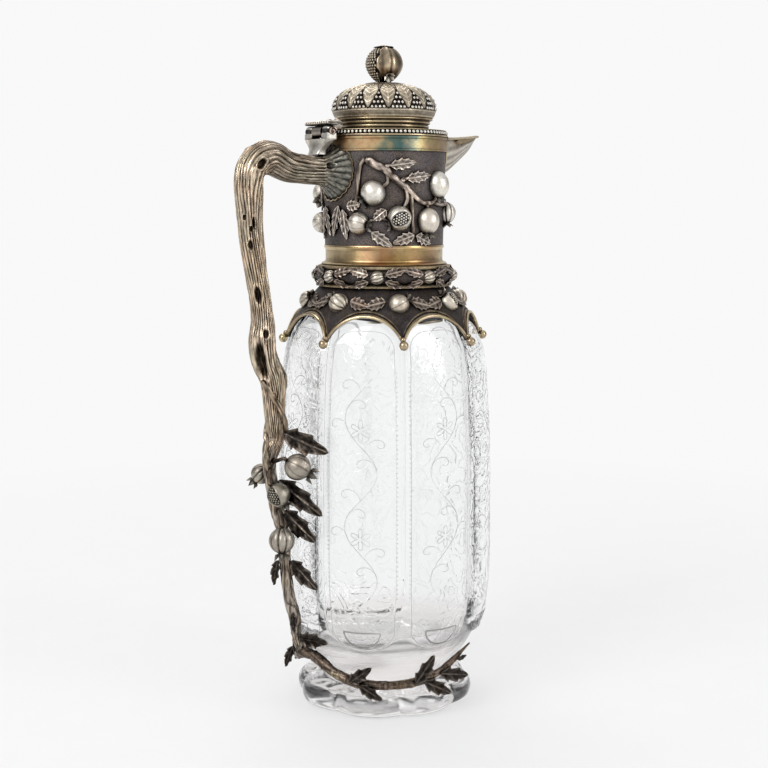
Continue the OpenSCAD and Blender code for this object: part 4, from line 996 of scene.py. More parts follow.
@dataclass
class GlassBody:
    """The lobed jug of clear glass with its scalloped, star-cut foot, and the wheel engraving."""

    columns: int = 376
    lobe_arc_r: float = 26.0
    arch_h: float = 13.0
    foot_r: float = 39.8
    foot_flat_r: float = 36.5
    bore_r: float = 18.6
    neck_r: float = 22.6
    top_z: float = 226.0
    inner_rows: tuple = ((18.6, 225.2), (18.6, 205), (18.6, 192), (19, 188), (21, 182), (25.5, 177.6),
                         (31, 173.6), (36.4, 164), (38.4, 155), (39.5, 140), (39.7, 125), (39.7, 90),
                         (39.7, 56), (39.3, 47), (38, 40.6), (35, 35.4), (29, 31.2), (20, 28.8), (10, 28.2))
    crest_rows: tuple = ((30.4, 40.6), (32.9, 43.2), (36.4, 44.9), (40.4, 46.1), (48.4, 47.1), (90.1, 48.0),
                         (118, 47.6), (135, 46.7), (148, 45.9), (155, 45.1), (162, 43.5), (165, 42.0),
                         (168, 40.6), (172, 37.4), (177, 34.2), (182.6, 29.4))
    core_rows: tuple = ((10.4, 27.8), (20.4, 34.2), (30.4, 40.2), (39.4, 43.2), (47.4, 43.8), (163, 39.8),
                        (182.6, 27.4))

    def lobe_share(self, degrees: Array) -> Array:
        """Share of the crest's radius: a circle of radius 26 whose middle stands 22 out from the axis."""
        f = np.radians(from_crest(degrees))
        axis = STACK.crest_r - self.lobe_arc_r
        return (axis * np.cos(f) + np.sqrt(self.lobe_arc_r ** 2 - (axis * np.sin(f)) ** 2)) / STACK.crest_r

    def face(self, degrees: Array, z: Array) -> Array:
        """Radius of the body's face.

        Inside each lobe's round-ended panel it is the crest's radius times the lobe's share, and
        outside it the plain cone; an eased step 0.2 of the panel wide joins the two.

        Args:
            degrees: Azimuth.
            z: Height.

        Returns:
            The radius in millimetres.
        """
        f = from_crest(degrees) / (PITCH / 2)
        d = np.maximum(0.0, STACK.lobe_z + self.arch_h - z) / self.arch_h
        mask = np.where(d == 0, 1.0, smooth((1 - np.hypot(f, d)) / 0.2))
        core, crest = eased_table(z, self.core_rows), eased_table(z, self.crest_rows)
        return np.minimum(core + (crest * self.lobe_share(degrees) - core) * mask, STACK.crest_r - 0.16)

    def solid(self) -> Solid:
        """Foot, cone, lobes, neck, bore and chamber in one closed skin.

        Rows run from under the foot up the outside, over the top of the neck and down the inside.
        The foot's edge follows the lobes, and its top carries flutes, |sin 16 a| round it, that
        fade towards the waist; its underside is cut to a star of |sin 8 a|.

        Returns:
            The closed glass.
        """
        a = (np.arange(self.columns) * 360.0 / self.columns)[None]
        share = self.lobe_share(a)
        flute = np.abs(np.sin(np.radians(LOBES * 2 * a)))
        rows: list[Array] = []
        marks: list[Array] = []

        def add(radius: Array, z: Array, mark: Array | float = 0.0) -> None:
            """Adds one row at a radius and height with its engraving, for all columns or one."""
            rows.append(polar(np.broadcast_to(radius, a.shape), a, np.broadcast_to(z, a.shape))[0])
            marks.append(np.broadcast_to(mark, a.shape)[0])

        star_r, points = 31.0, 1 - np.abs(np.sin(np.radians(LOBES * a)))
        for r in np.arange(1, 15) / 14 * star_r:
            add(r, 0.5 + 0.45 * smooth(r / 30.0) * points * (1 - (r / star_r) ** 4))
        for r, z in ((32.6, 0.15), (33.4, 0.0), (34.4, 0.12)):
            add(r, z)
        for r, z in ((36.6, 0.4), (37.9, 0.8), (38.9, 1.6), (39.5, 2.7), (self.foot_r, 4), (self.foot_r, 5.2),
                     (39.6, 6.4), (39.1, 7.5), (38.4, 8.5), (37.5, 9.2), (self.foot_flat_r, 9.6)):
            add(r * share, z)
        for t in np.arange(1, 19) / 18:
            r = (1 - t) * self.foot_flat_r * (share + (1 - share) * smooth(t * 1.3)) + t * 29.2
            add(r, 9.6 + 0.35 * t ** 2 - 0.4 * (1 - flute) * np.sin(np.pi * min(1, t * 1.05)) ** 0.7)
        for r, z in ((28.5, 10.05), (28.0, 10.2), (27.8, 10.6), (28.3, 11.6)):
            add(r, z)
        for z in np.concatenate([np.linspace(12.6, 30.0, 14), np.linspace(31.0, 46.0, 44),
                                 np.linspace(48.0, 160.0, 34), np.linspace(162.0, 182.6, 12)]):
            add(self.face(a, np.full(a.shape, z)), z, self.panel(a, z))
        top = self.top_z
        for r, z in ((24.2, 184.6), (23.2, 186.2), (self.neck_r, 188), (self.neck_r, 206),
                     (self.neck_r, top - 1), (22.2, top - 0.2), (21.6, top), (19.6, top), (18.9, top - 0.2),
                     (self.bore_r, top - 0.8)):
            add(r, z)
        for r, z in through([(*p, 0.0) for p in self.inner_rows], 66)[1:, :2]:
            add(r, z)
        grid = np.stack(rows)
        height = grid[..., 2]
        bare = smooth((40.0 - height) / 8.0) * np.clip(0.55 + smooth((height - 9.0) / 4.0), 0, 1)
        return Solid.lofted(grid, np.stack(marks), bare)

    def panel(self, degrees: Array, z: float) -> Array:
        """Share of the engraving: 1 inside each lobe's long round-ended panel, easing to 0."""
        f = from_crest(degrees) / (PITCH / 2)
        over = max(0.0, 46.0 - z, z - 156.0) / 13.0
        return smooth((0.84 - np.hypot(f, over)) / 0.1)

    def engraving_lines(self) -> list[Array]:
        """Lines of the engraving as rows of azimuth and height.

        Every lobe carries an S-scroll that mirrors from one lobe to the next, with curling side
        sprays, a six-petalled flower of loops where they part and a line just inside each groove.
        Each curl is a spiral whose radius falls evenly with its turn.

        Returns:
            The lines.
        """
        lines = []
        t = np.linspace(0.0, 1.0, 60)
        turn, size = 4.9 * t, 5.6 * (1 - 0.8 * t)
        curl_x, curl_z = (5.6 - size * np.cos(turn)) * 1.2, size * np.sin(turn) * 0.9 + 3.0 * t
        for lobe in range(LOBES):
            middle, sign = lobe * PITCH, 1 if lobe % 2 else -1

            def scroll(share: Array, low: float, rise: float, middle: float = middle, sign: int = sign) -> Array:
                """Azimuth and height at a share of an S-scroll."""
                sweep = sign * 8.5 * np.sin(2 * np.pi * (share + 0.12))
                return np.stack([middle + sweep, low + rise * share], -1)

            for low in (58.0, 104.0):
                lines.append(scroll(t, low, 46.0))
                for k, at in enumerate((0.16, 0.34, 0.52, 0.7, 0.88)):
                    side = sign * (1 if k % 2 else -1)
                    lines.append(scroll(np.array(at), low, 46.0) + np.stack([side * curl_x, curl_z], -1))
            around = 2 * np.pi * np.linspace(0.0, 1.0, 240)
            rise = np.sin(around)
            z = np.where(rise < 0, 46.0 + 12.0 * rise, 156.0 + 13.0 * rise)
            straight = np.abs(np.cos(around)) ** 0.5
            z = np.where(straight > 0.93, 101.0 + 55.0 * np.clip(rise / 0.5, -1, 1), z)
            across = 19.2 * np.sign(np.cos(around)) * np.minimum(straight, 0.96)
            lines.append(np.stack([middle + across, z], -1))
            for centre in (82.0, 128.0):
                spin = 2 * np.pi * t
                petal = 4.2 * np.abs(np.sin(3 * spin)) + 0.5
                flower = np.stack([1.2 * petal * np.cos(spin), petal * np.sin(spin)], -1)
                lines.append(flower + [middle, centre])
        return lines

    def ribbons(self, lines: list[Array], wide: float) -> Solid:
        """Lines of azimuth and height as flat closed ribbons on the glass, twice wide across."""
        ribbons = []
        for line in lines:
            centre = polar(self.face(line[:, 0], line[:, 1]) + 0.01, line[:, 0], line[:, 1])
            out = unit(centre * np.array([1.0, 1.0, 0.0]))
            side = unit(np.cross(out, unit(np.gradient(centre, axis=0))))
            width = (wide * np.sin(np.pi * np.linspace(0.04, 0.96, len(line))) ** 0.5)[:, None]
            ring = np.stack([centre - side * width, centre - 0.04 * out, centre + side * width,
                             centre + 0.03 * out], 1)
            ribbons.append(Solid.lofted(ring, 1.0))
        return Solid.joined(ribbons)

    def moons(self) -> list[Array]:
        """Half-moon outlines low on every lobe, painted refraction of the foot vine seen through the glass: a
        straight top edge and an arc below it.
        """
        turn = np.linspace(0.0, 2 * np.pi, 120)
        x = np.where(turn < np.pi, 10.0 * np.cos(turn), 10.0 * (2 * (turn - np.pi) / np.pi - 1))
        z = np.where(turn < np.pi, 41.0 - 7.0 * np.sin(turn), 41.0)
        return [np.stack([lobe * PITCH + x, z], -1) for lobe in range(LOBES)]

    def dots(self) -> Solid:
        """Rows of small punched dots inside every groove."""
        dots = []
        for lobe in range(LOBES):
            z = np.concatenate([np.linspace(56.0, 152.0, 49)] * 2)
            a = lobe * PITCH + np.repeat([-19.0, 19.0], 49)
            dots.append(polar(self.face(a, z) - 0.2, a, z))
        return ball(0.3, 3, 6).repeated(np.concatenate(dots))

    def build(self) -> None:
        """Puts the glass and its engraving in."""
        make_piece("GlassBody", self.solid(), Glass(), "glass_body")
        engraving = Solid.joined([self.ribbons(self.engraving_lines(), 0.2), self.dots()])
        make_piece("GlassEngraving", engraving, Frost(), like="glass_body")
        # Painted refraction: dark grey ribbons round the half-moons stand in for the foot vine seen through the
        # lower lobes.
        cut = Frost("moon_outlines_painted_refraction", ((0.5, 0.49, 0.48), (0.7, 0.69, 0.68)))
        make_piece("GlassMoonsPaintedRefraction", self.ribbons(self.moons(), 0.42), cut, like="glass_body")
        dress_node("neck_cement", Plaster())
        dress_node("neck_liner", GILT_PLAIN)


# ---- Collar, knop and band ----

@dataclass
class Collar:
    """Skirt with eight arches over the glass shoulder, edged in gilt and set with fruits and leaves."""

    columns: int = 384
    rows: int = 34
    arch_rise: float = 10.8
    thick: float = 0.9
    lip: float = 1.5
    fruit_r: float = 4.5
    fruit_z: float = 179.6
    ball_r: float = 2.0
    rinds: tuple = ((Rind.PLAIN, -1), (Rind.SPLIT, 1), (Rind.STRIPED, -0.5), (Rind.RIBBED, 1),
                    (Rind.RIBBED, -1), (Rind.STRIPED, 1), (Rind.SPLIT, -0.4), (Rind.RIBBED, 0.8))

    def edge(self, degrees: Array) -> Array:
        """Height of the arched edge: a circle of the given rise over each lobe."""
        half = STACK.collar_r * math.sin(math.radians(PITCH / 2))
        radius = (self.arch_rise ** 2 + half ** 2) / (2 * self.arch_rise)
        middle = STACK.collar_z + 0.6 + self.arch_rise - radius
        f = np.radians(from_crest(degrees))
        z = np.full_like(f, STACK.collar_z + 6)
        for _ in range(4):
            z = middle + np.sqrt(np.maximum(radius ** 2 - (STACK.collar_face(z) * np.sin(f)) ** 2, 1.0))
        return z

    def skirt(self) -> Solid:
        """The sheet: face from the arch to the knop and back down inside.

        Near the arch it stands out by 0.35 mm in a gilt lip with a groove above it, and a second
        thin gilt line follows 2.4 mm higher.

        Returns:
            The closed sheet.
        """
        a = (np.arange(self.columns) * 360.0 / self.columns)[None]
        t = np.linspace(0.0, 1.0, self.rows)[:, None] ** 1.35
        low = self.edge(a)
        z = low + (STACK.knop_z - low) * t
        above = z - low
        lip = smooth((self.lip - above) / 0.35 + 0.5)
        groove = ridge(above - self.lip - 0.45, 0.3)
        line = ridge(above - 2.5, 0.28)
        face = STACK.collar_face(z) + 0.38 * lip - 0.18 * groove + 0.22 * line
        inner = STACK.collar_face(z) - self.thick
        grid = np.concatenate([polar(face, a, z), polar(inner, a, z)[::-1]])
        gold = np.concatenate([np.clip(lip + line, 0, 1), np.zeros_like(z)])
        worn = np.concatenate([np.clip(0.5 + 0.5 * lip + 0.4 * line - 0.5 * groove, 0, 1), 0.2 + 0 * z])
        return Solid.lofted(grid, worn, gold, looped=True)

    def wire(self) -> Solid:
        """Gilt wire 0.62 mm in radius round the arches, as a closed loop."""
        a = np.arange(self.columns) * 360.0 / self.columns
        z = self.edge(a) + 0.5
        path = polar(STACK.collar_face(z) + 0.75, a, z)
        t = unit(np.roll(path, -1, 0) - np.roll(path, 1, 0))
        out = unit(path * np.array([1.0, 1.0, 0.0]))
        u = unit(np.cross(t, out))
        return moulding(path, u, np.cross(u, t), 0.62, 0.62)

    def tips(self) -> Solid:
        """Gilt balls on the eight points of the skirt, each with a small cap above."""
        a = (np.arange(LOBES) + 0.5) * PITCH
        r = STACK.collar_r + self.ball_r + 0.2
        balls = ball(self.ball_r, 12, 20).repeated(polar(r, a, np.full(LOBES, STACK.collar_z + 0.4)))
        caps = ball(1.15, 8, 14).repeated(polar(r - 1.2, a, np.full(LOBES, STACK.collar_z + 2.7)))
        solid = Solid.joined([balls, caps])
        solid.gilding = np.ones_like(solid.gilding)
        return solid

    def fruits(self) -> Solid:
        """Eight pomegranates over the points, their crowns turned down and to the side."""
        made = []
        for i, (kind, way) in enumerate(self.rinds):
            a = (i + 0.5) * PITCH
            out, east = unit(polar(0.782, a, 0.623)), polar(1.0, a + 90.0, 0.0)
            down = np.cross(east, out)
            centre = polar(STACK.collar_face(self.fruit_z) - 0.6, a, self.fruit_z)
            fruit = Pomegranate(self.fruit_r, kind, 1.04, 0.8)
            made.append(fruit.solid().placed(centre, way * east - 0.5 * down + 0.2 * out, out))
        return Solid.joined(made)

    def leaves(self) -> Solid:
        """A leaf on each side of every fruit, wrapped on the slope."""
        leaf = Leaf(8.6, 5.0, 0.2, 0.0, 4, 0.5).solid()
        made = []
        for i in range(LOBES):
            for side in (-1, 1):
                def lay(p: Array, a: float = (i + 0.5) * PITCH + side * 9.4, side: int = side) -> Array:
                    """Wraps the leaf's frame on the collar's face."""
                    z = STACK.knop_z - 5.0 - 0.24 * p[:, 0] + side * p[:, 1]
                    r = STACK.collar_face(z) + SEAT + 0.3 + p[:, 2]
                    return polar(r, a + side * np.degrees(p[:, 0] / r), z)
                made.append(leaf.moved(lay))
        return Solid.joined(made)

    def build(self) -> None:
        """Puts the collar's pieces in."""
        make_piece("CollarSkirt", self.skirt(), GROUND, "shoulder_collar")
        make_piece("CollarWire", self.wire(), GILT, "collar_edge_wire")
        make_piece("CollarTips", self.tips(), GILT, "collar_ball_tips")
        make_piece("CollarFruits", self.fruits(), DEEP_CUT, "collar_fruits")
        make_piece("CollarLeaves", self.leaves(), FOLIAGE, "collar_leaves")


@dataclass
class Knop:
    """Swelling band with gilt lips, small ribbed fruits and paired leaves."""

    radius: float = 30.6
    swell: float = 1.8
    middle: float = 4.7
    fruit_r: float = 2.85
    phase: float = 0.14

    def face(self, z: Array) -> Array:
        """Radius of the swelling middle: a half ellipse 3.6 mm high, as deep as the swell."""
        rise = (z - STACK.knop_z - self.middle) / 3.6
        return self.radius - self.swell + self.swell * np.sqrt(np.maximum(0.1, 1 - rise ** 2))

    def band(self) -> Solid:
        """The band turned about the axis: a gilt lip, a swelling dark middle and a gilt lip."""
        z, top = STACK.knop_z, STACK.band_z
        swell = [(self.radius - self.swell + self.swell * math.cos(a), z + self.middle + 2.84 * math.sin(a))
                 for a in np.radians(np.linspace(-62, 62, 13))]
        outer = [(28.8, z), (29.6, z + 0.2), (29.8, z + 0.8), (29.4, z + 1.4), (28.7, z + 1.65),
                 (28.9, z + 1.8)]
        upper = [(28.9, top - 1.8), (28.5, top - 1.65), (29.0, top - 1.4), (29.2, top - 0.8),
                 (29.0, top - 0.25), (28.2, top)]
        outline = np.array(outer + swell + upper + [(STACK.bore_r, top), (STACK.bore_r, z)])
        gold = np.zeros(len(outline))
        gold[:len(outer) - 1] = 1.0
        gold[len(outer) + len(swell) + 1:] = 1.0
        return turned(outline, 288, np.where(gold > 0, 1.0, 0.55), gold)

    def fruits(self) -> Solid:
        """Eight small ribbed fruits lying round the band."""
        made = []
        for i in range(LOBES):
            a = (i + self.phase) * PITCH
            centre = polar(self.radius - 0.9, a, STACK.knop_z + self.middle)
            fruit = Pomegranate(self.fruit_r, Rind.RIBBED, 1.12, 0.9, rings=22, count=36).solid()
            made.append(fruit.placed(centre, polar(1.0, a + 90, 0.25), polar(1.0, a, 0.0)))
        return Solid.joined(made)

    def leaves(self) -> Solid:
        """Serrated leaves in pairs on both sides of every fruit, wrapped on the band."""
        made = []
        for i in range(LOBES):
            for side in (-1, 1):
                a = (i + self.phase) * PITCH + side * 6.6
                for lift, tilt, leaf in ((1.2, 14.0, Leaf(9.4, 4.0, 0.24, 0.0, 4, 0.5, 36, 9)),
                                         (-1.6, -17.0, Leaf(8.4, 3.4, 0.24, 0.0, 3, 0.5, 30, 9))):
                    made.append(leaf.wrapped(self.face, a, STACK.knop_z + self.middle + lift,
                                             tilt if side > 0 else 180 - tilt, self.radius))
        return Solid.joined(made)

    def build(self) -> None:
        """Puts the knop's pieces in."""
        make_piece("KnopBand", self.band(), GROUND, "knop_band")
        make_piece("KnopFruits", self.fruits(), DEEP_CUT, "knop_fruits")
        make_piece("KnopLeaves", self.leaves(), FOLIAGE, "knop_leaves")


@dataclass
class GiltBand:
    """Plain gilt band between knop and sleeve, spun with fine lines."""

    radius: float = 25.8

    def solid(self) -> Solid:
        """The band turned about the axis: a lip, fifteen shallow spun lines and an upper lip."""
        z, top = STACK.band_z, STACK.sleeve_z
        heights = np.linspace(z + 2.2, top - 2.0, 31)
        lines = [(self.radius - 0.07 * (k % 2), h) for k, h in enumerate(heights)]
        foot = [(27.1, z), (27.5, z + 0.2), (27.6, z + 0.6), (27.3, z + 1.0), (26.5, z + 1.25), (25.9, z + 1.6)]
        lip = [(25.9, top - 1.7), (26.3, top - 1.3), (26.4, top - 0.8), (26.3, top - 0.3), (26.2, top)]
        return turned(np.array(foot + lines + lip + [(STACK.bore_r, top), (STACK.bore_r, z)]))

    def build(self) -> None:
        """Puts the band in."""
        make_piece("GiltBand", self.solid(), BAND, "gilt_band")


# ---- Sleeve and mouth ----

@dataclass
class Sleeve:
    """The matted neck sleeve's spray of pomegranates, and the gilt mouth band above it."""

    twig_r: float = 1.3
    fruit_r: float = 5.2
    fruits_at: tuple = ((-132.5, 22.4, 1.02, 218, Rind.PLAIN, 1), (-66, 26, 0.95, 275, Rind.PLAIN, 1.22),
                        (-146.7, 9.6, 0.9, 350, Rind.STRIPED, 1), (-109, 11.8, 1.02, 205, Rind.SPLIT, 1),
                        (-79.5, 10.7, 0.98, 268, Rind.PLAIN, 1.15), (-38, 14, 0.86, 262, Rind.RIBBED, 1.1))
    leaves_at: tuple = ((-117.5, 33.6, 8, 10.4), (-102.5, 28.2, 8, 11.0), (-121, 15.2, 219, 6.6),
                        (-134.5, 5.8, -35, 10.0), (-94.5, 4.6, 200, 9.4), (-92.5, 4.4, -24, 8.4),
                        (-168.5, 17, 252, 12.6), (-163.5, 15.4, -82, 12.0), (-158.5, 16.6, 8, 6.0))
    twig_at: tuple = ((-139, 36.4), (-129.5, 33.8), (-122, 32), (-114.4, 28.7), (-106.5, 25.8), (-99, 22.8),
                      (-91, 19.6), (-83, 18), (-76, 18.2))
    stalks_at: tuple = (((-122, 32), (-119.5, 29.4), (-120.2, 26.6), (-124.6, 24.6)),
                        ((-103, 24.6), (-101.5, 20.6), (-102.5, 18.2), (-105.2, 16.0)),
                        ((-99, 22.8), (-97.2, 17.0), (-96.4, 10.0), (-95.2, 5.0)),
                        ((-78.5, 18.0), (-71.0, 18.8), (-67.4, 21.0)),
                        ((-83, 18.0), (-80.6, 17.2), (-79.8, 15.8)),
                        ((-72.0, 18.4), (-60.0, 17.4), (-47.0, 17.6), (-41.0, 18.0)),
                        ((-139.5, 36.6), (-144.2, 34.0), (-146.4, 28.6), (-147.0, 23.0), (-149.0, 17.6)),
                         ((-123.5, 32.2), (-120.6, 33.2), (-118.4, 33.6), (-115.5, 34.0)),
                         ((-108.6, 26.6), (-105.6, 27.8), (-103.2, 28.2), (-100.4, 28.6)))

    def at(self, place: tuple, off: float) -> Array:
        """Point of the sleeve at an azimuth and height above its foot, off its face."""
        z = STACK.sleeve_z + place[1]
        return polar(STACK.sleeve_face(z) + off, place[0], z)

    def twigs(self) -> Solid:
        """Main twig and its forks, laid on the face on both sides of the jug."""
        made = [twig(through([self.at(p, 0.75) for p in self.twig_at], 110), self.twig_r * 1.35,
                     self.twig_r * 0.72, 14, 5, 0.14, (0, 0, 1))]
        for k, line in enumerate(self.stalks_at):
            made.append(twig(through([self.at(p, 0.6) for p in line], 40), self.twig_r * 0.85,
                             self.twig_r * 0.5, 12, 20 + k, 0.12, (0.3, 0.9, 0.2)))
        return Solid.on_both_sides(made)

    def fruits(self) -> Solid:
        """Pomegranates of the spray: azimuth, height, share of the radius, turn of the crown, rind."""
        made = []
        for a, h, share, turn, rind, stretch in self.fruits_at:
            out, east = polar(1.0, a, 0.0), polar(1.0, a + 90, 0.0)
            t = math.radians(turn)
            crown = 0.1 * out + math.cos(t) * east + math.sin(t) * np.array([0, 0, 1.0])
            fruit = Pomegranate(self.fruit_r * share, rind, stretch, 0.75, (0.2, 0.05, 1), (0.8, 0.58), 44, 64)
            made.append(fruit.solid().placed(self.at((a, h), 0.7), crown, out))
        return Solid.on_both_sides(made)

    def leaves(self) -> Solid:
        """Leaves of the spray wrapped on the sleeve: azimuth, height, turn and length."""
        made = [Leaf(length * 1.08, 4.7, 0.2, 0.0, 4, 0.5, 52, 11, 0.2).wrapped(
                    lambda z: STACK.sleeve_face(z) + 0.35, a, STACK.sleeve_z + h, turn, 26.5)
                for a, h, turn, length in self.leaves_at]
        return Solid.on_both_sides(made)

    def build(self) -> None:
        """Puts the spray in and dresses the sleeve and the mouth band."""
        make_piece("NeckTwigs", self.twigs(), TWIG, "neck_twigs")
        make_piece("NeckFruits", self.fruits(), RUBBED, "neck_fruits")
        make_piece("NeckLeaves", self.leaves(), NECK_LEAF, "neck_leaves")
        dress_node("neck_sleeve", replace(GROUND, name="matted_sleeve", on_mesh=False))
        # The mouth band's first tint stop paints the shade under the hinge.
        dress_node("rim_band", replace(HEAT_TINT_AND_SHADE, name="mouth_band_with_painted_shade", on_mesh=False))


@dataclass
class Spout:
    """Pouring lip: a V-shaped trough that narrows to the tip under a broad gilt rim."""

    root_r: float = 26.4
    half_y: float = 16.25
    keel_z: float = 231.0
    tip_x: float = 49.3
    tip_z: float = 252.0
    wall: float = 0.9

    def root(self, w: Array) -> tuple[Array, Array]:
        """Share of the width and of the height along the root's outline, from the keel to the rim."""
        return (eased_table(w, ((0, 0), (0.35, 0.4), (0.7, 0.9), (1, 1))),
                eased_table(w, ((0, 0), (0.35, 0.27), (0.7, 0.63), (1, 1))))

    def rim(self, v: Array) -> Array:
        """Rim on the far side: from the sleeve to the tip, its width falling as (1 - v)^0.92."""
        half = self.half_y * (1 - v) ** 0.92 + 1.1 * v * (2 - v)
        x0 = math.sqrt(self.root_r ** 2 - self.half_y ** 2)
        z = STACK.mouth_z - 0.1 + (self.tip_z - STACK.mouth_z) * v ** 1.6
        return np.stack([x0 + (self.tip_x - x0) * v, half, z], -1)

    def keel(self, v: Array) -> Array:
        """Keel: cubics from the sleeve down low, hollow below, up to the tip."""
        places = ((self.root_r, self.keel_z), (33.0, 235.4), (41.0, 241.6), (46.0, 246.0), (self.tip_x, 250.6))
        at = np.linspace(0, 1, len(places))
        x, z = (eased_table(v, np.stack([at, column], -1)) for column in np.array(places).T)
        return np.stack([x, 0 * v, z], -1)

    def surface(self, u: Array, v: Array) -> Array:
        """Face of the trough.

        Args:
            u: From -1 at the near rim over 0 at the keel to 1 at the far rim, one a row.
            v: From 0 at the sleeve to 1 at the tip, one a column.

        Returns:
            Points, rows by columns by three.
        """
        width, height = self.root(np.abs(u))
        rim, keel = self.rim(v)[None], self.keel(v)[None]
        y = np.sign(u)[:, None] * width[:, None] * rim[..., 1]
        z = keel[..., 2] + (rim[..., 2] - keel[..., 2]) * height[:, None]
        x = keel[..., 0] + (rim[..., 0] - keel[..., 0]) * height[:, None]
        seat = np.sqrt(np.maximum(self.root_r ** 2 - y ** 2, 1.0))
        return np.stack([seat + (x - seat) * smooth(v * 3.2)[None], y, z], -1)

    def trough(self) -> Solid:
        """Outer face and inner face drawn in by the wall, closed along the rims and ends."""
        u, v = np.linspace(-1, 1, 61), np.linspace(0, 1, 70)
        face = self.surface(u, v)
        normal = unit(np.cross(np.gradient(face, axis=0), np.gradient(face, axis=1)))
        normal = normal * np.where(normal[..., 2:] > 0, -1.0, 1.0)
        inner = face - self.wall * normal * np.minimum(1.0, 0.35 + 3 * (1 - v))[None, :, None]
        grid = np.concatenate([face, inner[:, ::-1]], axis=1)
        gold = np.concatenate([np.zeros(face.shape[:2]), np.ones(face.shape[:2])], axis=1)
        drops = 0.75 + 0.25 * np.cos(np.pi * 9 * np.abs(u))[:, None] * np.ones((1, 140))
        return Solid.lofted(grid, drops, gold)

    def edge(self, path: Array, out: Array, wide: float, high: float) -> Solid:
        """A flattened moulding along a path, wide across it and high along the direction out."""
        side = unit(np.cross(unit(np.gradient(path, axis=0)), out))
        return moulding(path, side, out, wide, high, 12, looped=False)

    def strips(self) -> Solid:
        """Gilt moulding along the rim from root to root by way of the tip, and one down the root."""
        far = np.array([1, -1, 1])
        side = self.rim(np.linspace(0.0, 1.0, 60))
        rim = through(np.concatenate([side, (side * far)[::-1]])[::3], 150)
        up = np.tile([0.0, 0.0, 1.0], (len(rim), 1))
        width, height = self.root(np.linspace(0.0, 1.0, 30))
        y, z = self.half_y * width, self.keel_z + (STACK.mouth_z - 1.2 - self.keel_z) * height
        half = np.stack([np.sqrt((self.root_r + 0.75) ** 2 - y ** 2), y, z], -1)
        root = through(np.concatenate([(half * far)[:0:-1], half])[::4], 120)
        return Solid.joined([self.edge(rim, up, 1.25, 0.62),
                             self.edge(root, unit(root * np.array([1, 1, 0])), 0.95, 0.5)])

    def build(self) -> None:
        """Puts the trough, its gilt rim and the gilt strips down its root in."""
        make_piece("SpoutTrough", self.trough(), SPOUT, "spout")
        make_piece("SpoutRim", self.strips(), GILT, like="rim_band")
        dress_node("spout_drop", replace(RUBBED, name="spout_drop_silver", on_mesh=False))


# ---- Lid ----

